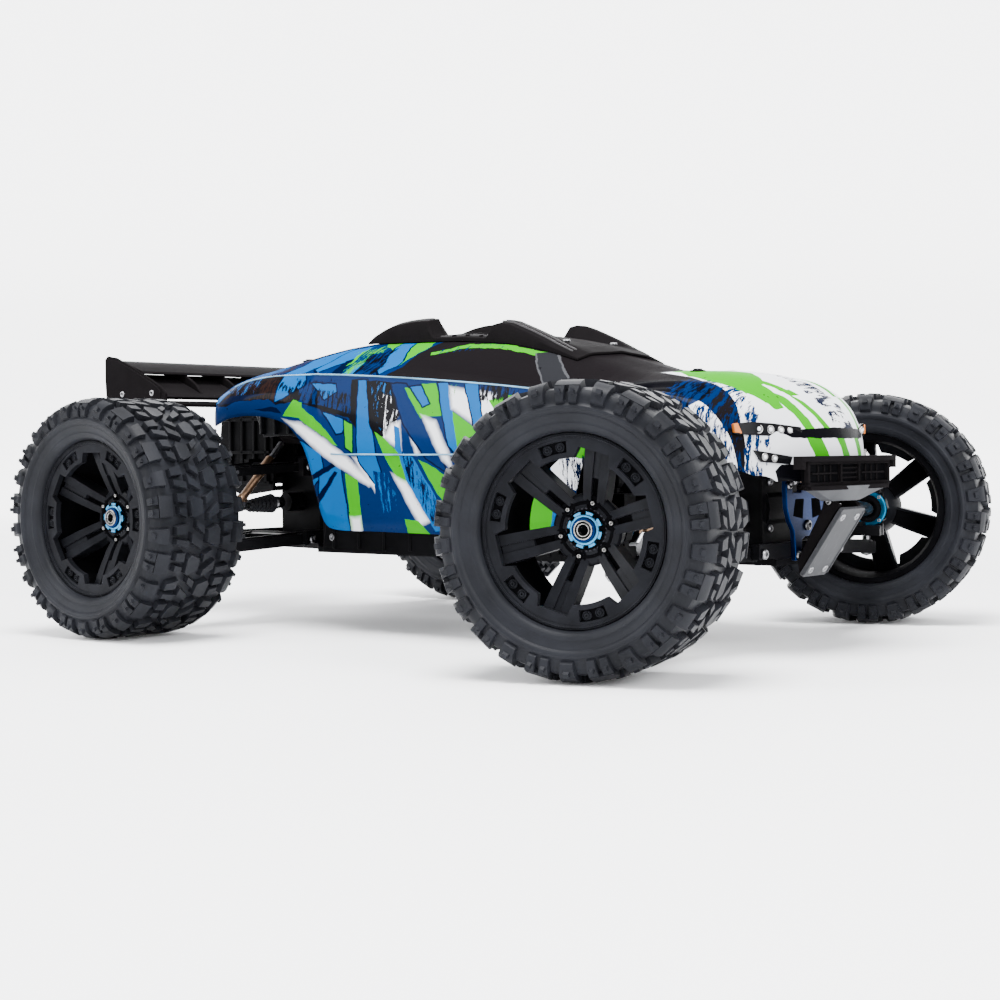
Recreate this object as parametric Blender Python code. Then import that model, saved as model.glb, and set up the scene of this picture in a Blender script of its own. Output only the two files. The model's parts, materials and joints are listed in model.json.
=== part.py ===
"""Radio-controlled monster truck: tub chassis, four double-wishbone corners worked by pushrods and
rockers, front steering, twin batteries, and a lift-off painted shell with roof skid and rear wing.

Frame: +X forward, +Y to the truck's left, +Z up, metres. The front wheels stand steered to the left,
as the truck is posed. Lengthwise places are measured from a station between the axles, and the empty
"truck" moves every piece back by MIDDLE_X, which puts the origin on the ground under the middle of
the whole truck.

A corner is described by its offsets from its own axle: "toward" runs along X to the truck's middle,
"out" runs along Y away from the truck's centre line.
"""
import math

import bmesh
import bpy
from mathutils import Matrix, Vector

# ---- driving dimensions (metres) ----
TYRE_R = 0.0815
TYRE_HALF_W = 0.0388
BEAD_R = 0.0495
RIM_LIP_R = 0.0524
WHEEL_SEGMENTS = 28
FRONT_AXLE_X = 0.2165
REAR_AXLE_X = -0.1645
HALF_TRACK = 0.1910
KINGPIN_Y = 0.1530
AXLE_Z = TYRE_R
# the front wheels' steering at rest by side, left 1 and right -1: the inner wheel turns more
FRONT_STEER = {1: math.radians(20.4), -1: math.radians(15.7)}
GAP = 0.0003
MIDDLE_X = 0.0100

# suspension: every lateral link is the same vector, so the linkage is a true parallelogram
INNER_PIVOT_Y = 0.047
LINK_DROP = 0.006
LOWER_PIVOT_Z = 0.061
UPPER_PIVOT_Z = 0.114
SHAFT_PIVOT_Z = AXLE_Z + LINK_DROP
LOWER_BALL_Z = LOWER_PIVOT_Z - LINK_DROP
UPPER_BALL_Z = UPPER_PIVOT_Z - LINK_DROP
BALL_R = 0.0062
BALL_CLEAR = 0.0072
LOWER_ARM_HALF_X = 0.029
UPPER_ARM_HALF_X = 0.026

# pushrod from the lower arm up to the rocker, rocker to the lengthwise shock
PUSH_TOWARD = 0.0095
PUSH_FOOT = (0.118, 0.0665)
PUSH_HEAD = (0.047, 0.137)
ROCKER_LEVER = 0.028
SHOCK_LEVER = 0.020
ROCKER_HALF_THICK = 0.0025
SHOCK_LENGTH = 0.075
SHOCK_BODY_LENGTH = 0.042
SHOCK_R = 0.0085

# steering
STEER_ARM = 0.030
RACK_Z = (0.0725, 0.0790)
RACK_HALF_X = 0.0045
RACK_HALF_Y = 0.050
TIE_ROD_INNER_Z = 0.0855
MEAN_STEER = (FRONT_STEER[1] + FRONT_STEER[-1]) / 2
RACK_SHIFT = STEER_ARM * math.sin(MEAN_STEER)
RACK_X = FRONT_AXLE_X - STEER_ARM * math.cos(MEAN_STEER)

# chassis
FLOOR_Z = (0.0530, 0.0570)
SPINE_HALF_Y = 0.0155
SPINE_TOP = 0.0845
SHOCK_BAR_Z = (0.1430, 0.1590)
SHOCK_BAR_HALF_Y = 0.042
BATTERY_HEIGHT = 0.026

# shell
SHELL_THICK = 0.0016
WING_HALF_SPAN = 0.1035

CORNERS = {
    "front_left": (FRONT_AXLE_X, -1, 1),
    "front_right": (FRONT_AXLE_X, -1, -1),
    "rear_left": (REAR_AXLE_X, 1, 1),
    "rear_right": (REAR_AXLE_X, 1, -1),
}

# name: colour, roughness, metallic
FINISHES = {
    "black_nylon": ((0.020, 0.020, 0.022), 0.55, 0.0),
    "rubber": ((0.045, 0.047, 0.053), 0.80, 0.0),
    "satin_black": ((0.012, 0.012, 0.014), 0.35, 0.0),
    "blue_anodised": ((0.02, 0.10, 0.42), 0.35, 0.8),
    "teal_anodised": ((0.02, 0.28, 0.48), 0.35, 0.8),
    "steel": ((0.55, 0.55, 0.57), 0.30, 1.0),
    "grey_plate": ((0.16, 0.16, 0.17), 0.50, 0.0),
    "painted_blue": ((0.01, 0.16, 0.55), 0.15, 0.0),
    "motor_metal": ((0.10, 0.10, 0.11), 0.35, 0.8),
    "battery_wrap": ((0.05, 0.05, 0.06), 0.45, 0.0),
}


def clear_scene():
    for obj in list(bpy.data.objects):
        bpy.data.objects.remove(obj, do_unlink=True)


def material(name):
    found = bpy.data.materials.get(name)
    if found:
        return found
    colour, roughness, metallic = FINISHES[name]
    made = bpy.data.materials.new(name)
    made.use_nodes = True
    shader = made.node_tree.nodes["Principled BSDF"]
    shader.inputs["Base Color"].default_value = (*colour, 1.0)
    shader.inputs["Roughness"].default_value = roughness
    shader.inputs["Metallic"].default_value = metallic
    made.diffuse_color = (*colour, 1.0)
    return made


# ---- closed shapes, each returned as a bmesh in world coordinates ----
def closed(bm):
    bmesh.ops.recalc_face_normals(bm, faces=bm.faces)
    return bm


def prism(outline, to_world, low, high):
    """A flat outline (u, v) pushed from low to high; to_world(u, v, w) places a point."""
    bm = bmesh.new()
    rings = [[bm.verts.new(to_world(u, v, w)) for u, v in outline] for w in (low, high)]
    bm.faces.new(rings[0])
    bm.faces.new(rings[1])
    for i in range(len(outline)):
        j = (i + 1) % len(outline)
        bm.faces.new((rings[0][i], rings[0][j], rings[1][j], rings[1][i]))
    return closed(bm)


def along_x(u, v, w):
    return Vector((w, u, v))


def along_y(u, v, w):
    return Vector((u, w, v))


def along_z(u, v, w):
    return Vector((u, v, w))


def box(x, y, z):
    outline = [(x[0], y[0]), (x[1], y[0]), (x[1], y[1]), (x[0], y[1])]
    return prism(outline, along_z, z[0], z[1])


def turned(profile, start, direction, segments=16):
    """A turned solid: profile is (distance along the axis, radius), ends on the axis are poles."""
    axis = Vector(direction).normalized()
    side = axis.orthogonal().normalized()
    if abs(axis.y) > 0.9:
        side = (Vector((0, 0, 1)) - axis * axis.z).normalized()
    other = axis.cross(side)
    bm = bmesh.new()
    rings = []
    for distance, radius in profile:
        centre = Vector(start) + axis * distance
        if radius == 0.0:
            rings.append([bm.verts.new(centre)])
            continue
        turn = [2 * math.pi * k / segments for k in range(segments)]
        rings.append([bm.verts.new(centre + radius * (side * math.cos(a) + other * math.sin(a)))
                      for a in turn])
    hollow = profile[0][1] > 0.0
    pairs = list(zip(rings, rings[1:]))
    if hollow:
        pairs.append((rings[-1], rings[0]))
    for first, second in pairs:
        for k in range(segments):
            m = (k + 1) % segments
            corners = [first[k % len(first)], first[m % len(first)],
                       second[m % len(second)], second[k % len(second)]]
            unique = list(dict.fromkeys(corners))
            bm.faces.new(unique)
    return closed(bm)


def rod(start, end, radius, segments=10):
    direction = Vector(end) - Vector(start)
    profile = [(0, 0.0), (0, radius), (direction.length, radius), (direction.length, 0.0)]
    return turned(profile, start, direction, segments)


def ball(centre, radius, segments=8, rings=5):
    profile = [(-radius * math.cos(math.pi * k / rings), radius * math.sin(math.pi * k / rings))
               for k in range(rings + 1)]
    profile[0] = (-radius, 0.0)
    profile[-1] = (radius, 0.0)
    return turned(profile, centre, (0, 0, 1), segments)


def round_hull(lobes, per_lobe=8):
    """The convex outline around a few circles (u, v, radius)."""
    points = []
    for u, v, radius in lobes:
        for k in range(per_lobe):
            angle = 2 * math.pi * k / per_lobe
            points.append((u + radius * math.cos(angle), v + radius * math.sin(angle)))
    points.sort()

    def half(ordered):
        kept = []
        for p in ordered:
            while len(kept) > 1:
                (ax, ay), (bx, by) = kept[-2], kept[-1]
                if (bx - ax) * (p[1] - ay) - (by - ay) * (p[0] - ax) > 1e-12:
                    break
                kept.pop()
            kept.append(p)
        return kept[:-1]

    return half(points) + half(points[::-1])


def truck_empty():
    found = bpy.data.objects.get("truck")
    if found:
        return found
    made = bpy.data.objects.new("truck", None)
    made.location = (-MIDDLE_X, 0, 0)
    bpy.context.collection.objects.link(made)
    return made


def mesh_object(name, bm):
    mesh = bpy.data.meshes.new(name)
    bm.to_mesh(mesh)
    bm.free()
    obj = bpy.data.objects.new(name, mesh)
    bpy.context.collection.objects.link(obj)
    return obj


def combine(base, shapes, operation):
    """Apply exact Booleans of the shapes to the base shape, and return one bmesh."""
    body = mesh_object("work_body", base)
    tools = [mesh_object("work_tool", shape) for shape in shapes]
    for tool in tools:
        step = body.modifiers.new("combine", "BOOLEAN")
        step.operation = operation
        step.solver = "EXACT"
        step.object = tool
    evaluated = body.evaluated_get(bpy.context.evaluated_depsgraph_get())
    bm = bmesh.new()
    bm.from_mesh(evaluated.to_mesh())
    evaluated.to_mesh_clear()
    for obj in [body] + tools:
        bpy.data.objects.remove(obj, do_unlink=True)
    bmesh.ops.dissolve_limit(bm, angle_limit=math.radians(0.2), verts=bm.verts, edges=bm.edges)
    return bm


def union(*shapes):
    return combine(shapes[0], shapes[1:], "UNION")


def cut(base, *cutters):
    return combine(base, cutters, "DIFFERENCE")


def node(name, bm, finish, origin=(0, 0, 0), turn=0.0, smooth=None):
    """One named sub-part: its mesh is moved so that its origin lies on its joint."""
    frame = Matrix.Translation(Vector(origin)) @ Matrix.Rotation(turn, 4, "Z")
    bmesh.ops.transform(bm, matrix=frame.inverted(), verts=bm.verts)
    obj = mesh_object(name, bm)
    obj.parent = truck_empty()
    obj.location = origin
    obj.rotation_euler = (0, 0, turn)
    obj.data.materials.append(material(finish))
    if smooth:
        obj.data.shade_smooth()
        obj.data.set_sharp_from_angle(angle=math.radians(smooth))
    return obj


# ---- chassis ----
def make_tub():
    half = [(-0.205, 0.024), (-0.135, 0.036), (-0.105, 0.066), (0.120, 0.066), (0.150, 0.036),
            (0.250, 0.030)]
    outline = half + [(x, -y) for x, y in reversed(half)]
    floor = prism(outline, along_z, *FLOOR_Z)
    wall_z = (FLOOR_Z[0] + 0.001, 0.079)
    walls = [box((-0.100, 0.115), (side * 0.0625, side * 0.0655), wall_z) for side in (1, -1)]
    spine = box((-0.040, 0.1027), (-SPINE_HALF_Y, SPINE_HALF_Y), (FLOOR_Z[0] + 0.002, SPINE_TOP))
    post = box((0.0950, 0.1027), (-0.012, 0.012), (0.080, 0.150))
    bar = box((0.0950, 0.1027), (-SHOCK_BAR_HALF_Y, SHOCK_BAR_HALF_Y), SHOCK_BAR_Z)
    tub = union(floor, *walls, spine, post, bar)
    node("chassis_tub", tub, "black_nylon")


def gear_housing(name, axle_x, toward):
    """Bulkhead around a differential, with the arms' hinge brackets and the rocker posts."""
    def x_span(a, b):
        return tuple(sorted((axle_x + toward * a, axle_x + toward * b)))

    base_z = FLOOR_Z[1] + GAP
    lower_end = (LOWER_ARM_HALF_X + 0.0005, LOWER_ARM_HALF_X + 0.0055)
    upper_end = (UPPER_ARM_HALF_X + 0.0005, UPPER_ARM_HALF_X + 0.0055)
    shapes = [box(x_span(-0.020, 0.020), (-0.024, 0.024), (base_z + 0.001, 0.112)),
              turned([(0, 0.0), (0, 0.0225), (0.038, 0.0225), (0.038, 0.0)],
                     (axle_x, -0.019, SHAFT_PIVOT_Z), (0, 1, 0), 20),
              box(x_span(-lower_end[1], lower_end[1]), (-0.036, 0.036), (base_z, base_z + 0.0045)),
              box(x_span(-upper_end[1], upper_end[1]), (-0.023, 0.023), (0.106, 0.122))]
    for end in (-1, 1):
        shapes.append(box(x_span(end * lower_end[0], end * lower_end[1] * 0.999), (-0.052, 0.052),
                          (base_z + 0.0005, 0.067)))
        shapes.append(box(x_span(end * upper_end[0], end * upper_end[1] * 0.999), (-0.052, 0.052),
                          (0.1075, 0.1200)))
    pivot_x = axle_x + toward * (PUSH_TOWARD + ROCKER_LEVER)
    for side in (1, -1):
        shapes.append(rod((axle_x, side * 0.022, SHAFT_PIVOT_Z), (axle_x, side * 0.040, SHAFT_PIVOT_Z),
                          0.0070, 12))
        normal = rocker_normal(side)
        pivot = Vector((pivot_x, side * PUSH_HEAD[0], PUSH_HEAD[1]))
        shapes.append(rod(pivot + normal * (ROCKER_HALF_THICK + GAP), pivot + normal * 0.024, 0.0050, 12))
    shapes.append(box(x_span(0.0280, 0.0460), (-0.0375, 0.0375), (0.1090, 0.1245)))
    node(name, union(*shapes), "black_nylon")


def make_power_train():
    shell_x = (-0.0920, -0.0435)
    case = box(shell_x, (-0.028, 0.028), (FLOOR_Z[1] + GAP, 0.124))
    post = box((-0.0507, -0.0436), (-0.012, 0.012), (0.120, 0.150))
    bar = box((-0.0507, -0.0436), (-SHOCK_BAR_HALF_Y, SHOCK_BAR_HALF_Y), SHOCK_BAR_Z)
    node("gearbox", union(case, post, bar), "black_nylon")
    motor_z = SPINE_TOP + 0.0205
    profile = [(0, 0.0), (0, 0.0165), (0.002, 0.0200), (0.064, 0.0200), (0.068, 0.0170), (0.070, 0.0)]
    motor = turned(profile, (shell_x[1] + GAP, 0, motor_z), (1, 0, 0), 20)
    node("motor", motor, "motor_metal", smooth=35)
    battery_z = (FLOOR_Z[1] + GAP, FLOOR_Z[1] + GAP + BATTERY_HEIGHT)
    for side, name in ((1, "battery_left"), (-1, "battery_right")):
        pack = box((-0.0400, 0.0930), (side * 0.0170, side * 0.0605), battery_z)
        node(name, pack, "battery_wrap")
    controller = box((0.0300, 0.0860), (-0.024, 0.024), (SPINE_TOP + GAP, 0.108))
    node("speed_controller", controller, "black_nylon")
    servo = union(box((0.112, 0.153), (-0.0100, 0.0100), (FLOOR_Z[1] + GAP, 0.094)),
                  box((0.1060, 0.159), (-0.0098, 0.0098), (0.082, 0.085)))
    node("steering_servo", servo, "black_nylon")


def make_front_end():
    half_lip = [(0.2815, 0.0600), (0.2850, 0.0600), (0.2905, 0.0330)]
    lip = half_lip + [(x, -y) for x, y in reversed(half_lip)]
    upper = prism(lip, along_z, 0.1155, 0.1200)
    panel = box((0.2818, 0.2842), (-0.0525, 0.0525), (0.0990, 0.1160))
    half_low = [(0.2600, 0.0230), (0.2800, 0.0500), (0.2850, 0.0500), (0.2895, 0.0300)]
    low = half_low + [(x, -y) for x, y in reversed(half_low)]
    lower = prism(low, along_z, 0.0940, 0.1000)
    cheek_outline = [(0.2551, 0.0960), (0.2800, 0.0960), (0.2790, 0.0885), (0.2551, 0.0560)]
    cheeks = [prism(cheek_outline, along_y, side * 0.0110, side * 0.0150) for side in (1, -1)]
    node("front_bumper", union(lower, upper, panel, *cheeks), "satin_black")
    plate_outline = [(0.2835, 0.0890), (0.2870, 0.0890), (0.2600, 0.0465), (0.2565, 0.0465)]
    node("front_skid_plate", prism(plate_outline, along_y, -0.0150, 0.0150), "grey_plate")
    half_brace = [(0.0060, 0.1060), (0.0080, 0.0980), (0.0185, 0.0980), (0.0200, 0.1060), (0.0255, 0.1060),
                  (0.0250, 0.0880), (0.0165, 0.0740), (0.0145, 0.0545), (0.0090, 0.0545), (0.0055, 0.0680)]
    brace = half_brace + [(-y, z) for y, z in reversed(half_brace)]
    node("bumper_brace", prism(brace, along_x, 0.2513, 0.2547), "blue_anodised")


# ---- one corner ----
def corner_point(axle_x, toward, side):
    """Returns place(toward, out, z), which gives a corner's point in world coordinates."""
    def place(t, out, z):
        return Vector((axle_x + toward * t, side * out, z))
    return place


def rocker_normal(side):
    """The rocker's axis: square to the pushrod and to X, pointing inward and down."""
    push = Vector((0, PUSH_HEAD[0] - PUSH_FOOT[0], PUSH_HEAD[1] - PUSH_FOOT[1])).normalized()
    return Vector((0, -side * push.z, push.y))


def wishbone(place, pivot_z, inner_half, outer_half, thick, leg, ball_hole):
    """An A-shaped arm with a hinge barrel along X and a window between its legs."""
    end_out = KINGPIN_Y - ball_hole
    drop = LINK_DROP * (end_out - INNER_PIVOT_Y) / (KINGPIN_Y - INNER_PIVOT_Y)

    def to_world(t, out, w):
        share = (out - INNER_PIVOT_Y) / (end_out - INNER_PIVOT_Y)
        return place(t, out, pivot_z - drop * share + w)

    plate = prism([(-inner_half, INNER_PIVOT_Y), (inner_half, INNER_PIVOT_Y), (outer_half, end_out),
                   (-outer_half, end_out)], to_world, -thick, thick)
    barrel = rod(place(-inner_half, INNER_PIVOT_Y, pivot_z), place(inner_half, INNER_PIVOT_Y, pivot_z),
                 thick * 1.25, 12)
    window_share = 0.62
    far = INNER_PIVOT_Y + window_share * (end_out - INNER_PIVOT_Y)
    window_far = inner_half + (outer_half - inner_half) * window_share - leg
    window = prism([(-inner_half + leg, INNER_PIVOT_Y + 0.011), (inner_half - leg, INNER_PIVOT_Y + 0.011),
                    (window_far, far), (-window_far, far)], to_world, -3 * thick, 3 * thick)
    return cut(union(plate, barrel), window)


def steering_frame(axle_x, side, steer):
    """Matrix from a corner's own frame (origin at the kingpin, Y to the left) to the world."""
    return Matrix.Translation((axle_x, side * KINGPIN_Y, 0)) @ Matrix.Rotation(steer, 4, "Z")


def make_upright(name, axle_x, toward, side, steer):
    def out_span(a, b):
        return tuple(sorted((side * a, side * b)))

    face = box((-0.0105, 0.0105), out_span(0.0060, 0.0135), (0.0630, 0.1000))
    low_jaw = box((-0.0100, 0.0100), out_span(-0.0075, 0.0080), (0.0632, 0.0700))
    top_jaw = box((-0.0100, 0.0100), out_span(-0.0075, 0.0080), (0.0930, 0.0998))
    carrier = rod((0, side * 0.0062, AXLE_Z), (0, side * 0.0165, AXLE_Z), 0.0140, 12)
    bore = rod((0, side * 0.0010, AXLE_Z), (0, side * 0.0200, AXLE_Z), 0.0066, 10)
    top_post = rod((0, 0, 0.0970), (0, 0, UPPER_BALL_Z), 0.0030, 8)
    shapes = [face, low_jaw, top_jaw, carrier, top_post, ball((0, 0, UPPER_BALL_Z), BALL_R)]
    if steer:
        shapes.append(prism(round_hull([(toward * 0.006, 0, 0.0055), (toward * STEER_ARM, 0, 0.0045)]),
                            along_z, 0.0655, RACK_Z[0]))
    else:
        shapes.append(rod((0, 0, LOWER_BALL_Z), (0, 0, 0.0650), 0.0030, 8))
        shapes.append(ball((0, 0, LOWER_BALL_Z), BALL_R))
    bm = cut(union(*shapes), bore)
    frame = steering_frame(axle_x, side, steer)
    bmesh.ops.transform(bm, matrix=frame, verts=bm.verts)
    node(name + "_upright", bm, "black_nylon", (axle_x, side * KINGPIN_Y, LOWER_BALL_Z), steer)


def make_wheel(name, axle_x, side, steer):
    frame = steering_frame(axle_x, side, steer)
    centre_out = HALF_TRACK - KINGPIN_Y
    centre = frame @ Vector((0, side * centre_out, AXLE_Z))
    outward = (frame.to_3x3() @ Vector((0, side, 0))).normalized()
    segments = WHEEL_SEGMENTS
    half_tyre = [(0.0276, BEAD_R), (0.0279, 0.0530), (0.0345, 0.0565), (TYRE_HALF_W, 0.0670),
                 (0.0368, 0.0775), (0.0260, TYRE_R)]
    tyre_profile = [(-a, r) for a, r in half_tyre] + half_tyre[::-1]
    tyre = turned(tyre_profile, centre, outward, segments)
    node(name + "_tyre", tyre, "rubber", centre, steer, smooth=30)

    half_rim = [(0.0280, 0.0489), (0.0286, RIM_LIP_R), (0.0308, RIM_LIP_R), (0.0308, 0.0462)]
    rim_profile = [(-a, r) for a, r in reversed(half_rim)] + half_rim
    shapes = [turned(rim_profile, centre, outward, segments)]
    shapes.append(turned([(-0.0308, 0.0), (-0.0308, 0.0052), (-0.0180, 0.0052), (-0.0180, 0.0110),
                          (0.0085, 0.0130), (0.0085, 0.0)], centre, outward, 12))
    across = frame.to_3x3() @ Vector((1, 0, 0))
    up = Vector((0, 0, 1))
    for k in range(6):
        angle = math.radians(90 + 60 * k)
        radial = across * math.cos(angle) + up * math.sin(angle)
        wide = across * -math.sin(angle) + up * math.cos(angle)
        bm = bmesh.new()
        ends = []
        for radius, low, high, half in ((0.0100, -0.0060, 0.0070, 0.0045), (0.0476, 0.0080, 0.0200, 0.0080)):
            ends.append([bm.verts.new(centre + radial * radius + outward * a + wide * b)
                         for a, b in ((low, -half), (low, half), (high, half), (high, -half))])
        bm.faces.new(ends[0])
        bm.faces.new(ends[1])
        for i in range(4):
            j = (i + 1) % 4
            bm.faces.new((ends[0][i], ends[0][j], ends[1][j], ends[1][i]))
        shapes.append(closed(bm))
    node(name + "_rim", union(*shapes), "satin_black", centre, steer, smooth=30)


def make_half_shaft(name, place):
    inner = place(0, INNER_PIVOT_Y, SHAFT_PIVOT_Z)
    outer = place(0, KINGPIN_Y, AXLE_Z)
    length = (outer - inner).length
    profile = [(-0.0045, 0.0), (-0.0030, 0.0042), (0.0040, 0.0050), (0.0070, 0.0030), (length - 0.024, 0.0030),
               (length - 0.018, 0.0052), (length - 0.004, 0.0052), (length + 0.0030, 0.0040),
               (length + 0.0045, 0.0)]
    node(name + "_half_shaft", turned(profile, inner, outer - inner, 12), "steel", inner, smooth=30)


def make_pushrod(name, place):
    foot = place(PUSH_TOWARD, *PUSH_FOOT)
    head = place(PUSH_TOWARD, *PUSH_HEAD)
    up = (head - foot).normalized()
    eye = rod(foot + Vector((-0.003, 0, 0)), foot + Vector((0.003, 0, 0)), 0.0040, 12)
    shank = rod(foot, head - up * 0.0075, 0.0022, 10)
    node(name + "_pushrod", union(eye, shank), "steel", foot)


def make_rocker(name, place, toward, side):
    pivot = place(PUSH_TOWARD + ROCKER_LEVER, *PUSH_HEAD)
    push = (place(0, *PUSH_HEAD) - place(0, *PUSH_FOOT)).normalized()
    normal = rocker_normal(side)
    lengthwise = Vector((toward, 0, 0))

    def to_world(u, v, w):
        return pivot + lengthwise * u + push * v + normal * w

    outline = round_hull([(0, 0, 0.0072), (-ROCKER_LEVER, 0, 0.0050), (0, SHOCK_LEVER, 0.0050)])
    plate = prism(outline, to_world, -ROCKER_HALF_THICK, ROCKER_HALF_THICK)
    node(name + "_rocker", plate, "teal_anodised", pivot)
    return pivot + push * SHOCK_LEVER


def make_shock(name, start, toward):
    direction = Vector((toward, 0, 0))
    mouth = SHOCK_LENGTH - SHOCK_BODY_LENGTH
    body_profile = [(mouth, 0.0022), (mouth, 0.0075), (mouth + 0.003, SHOCK_R),
                    (SHOCK_LENGTH - 0.003, SHOCK_R), (SHOCK_LENGTH, 0.0070), (SHOCK_LENGTH, 0.0)]
    bore_profile = [(SHOCK_LENGTH - 0.004, 0.0), (SHOCK_LENGTH - 0.004, 0.0062), (mouth + 0.003, 0.0062),
                    (mouth + 0.003, 0.0022)]
    cup = turned(bore_profile + body_profile, start, direction, 12)
    node(name + "_shock_body", cup, "teal_anodised", smooth=35)
    rod_profile = [(0.0068, 0.0), (0.0068, 0.0030), (0.0085, 0.0042), (0.0120, 0.0042), (0.0135, 0.0016),
                   (0.0480, 0.0016), (0.0480, 0.0054), (0.0510, 0.0054), (0.0510, 0.0)]
    node(name + "_shock_rod", turned(rod_profile, start, direction, 12), "steel", start, smooth=35)


def make_tie_rod(name, side):
    steer = FRONT_STEER[side]
    x = FRONT_AXLE_X - STEER_ARM * math.cos(steer)
    shift = -STEER_ARM * math.sin(steer)
    inner = Vector((x, side * INNER_PIVOT_Y + shift, TIE_ROD_INNER_Z))
    outer = Vector((x, side * KINGPIN_Y + shift, TIE_ROD_INNER_Z - LINK_DROP))
    shapes = [rod(inner, outer, 0.0023, 10)]
    for end in (inner, outer):
        shapes.append(rod(end + Vector((0, 0, -0.0042)), end + Vector((0, 0, 0.0042)), 0.0045, 12))
    node(name, union(*shapes), "steel", inner)


def make_corner(name):
    axle_x, toward, side = CORNERS[name]
    steer = FRONT_STEER[side] if name.startswith("front") else 0.0
    place = corner_point(axle_x, toward, side)
    lower = wishbone(place, LOWER_PIVOT_Z, LOWER_ARM_HALF_X, 0.0110, 0.0040, 0.0100, BALL_CLEAR)
    node(name + "_lower_arm", lower, "black_nylon", place(0, INNER_PIVOT_Y, LOWER_PIVOT_Z))
    upper = wishbone(place, UPPER_PIVOT_Z, UPPER_ARM_HALF_X, 0.0065, 0.0030, 0.0075, BALL_CLEAR)
    node(name + "_upper_arm", upper, "black_nylon", place(0, INNER_PIVOT_Y, UPPER_PIVOT_Z))
    make_upright(name, axle_x, toward, side, steer)
    make_wheel(name, axle_x, side, steer)
    make_half_shaft(name, place)
    make_pushrod(name, place)
    shock_start = make_rocker(name, place, toward, side)
    make_shock(name, shock_start, toward)


def make_steering():
    shift = -RACK_SHIFT
    rack = box((RACK_X - RACK_HALF_X, RACK_X + RACK_HALF_X), (shift - RACK_HALF_Y, shift + RACK_HALF_Y), RACK_Z)
    node("steering_rack", rack, "black_nylon", (RACK_X, shift, RACK_Z[0]))
    for side, word in ((1, "left"), (-1, "right")):
        make_tie_rod("tie_rod_" + word, side)
        centre = (FRONT_AXLE_X, side * KINGPIN_Y, LOWER_BALL_Z)
        stud = rod(centre, (centre[0], centre[1], 0.0627), 0.0030, 10)
        node("pillow_ball_" + word, union(ball(centre, BALL_R), stud), "steel", centre, smooth=40)


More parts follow.
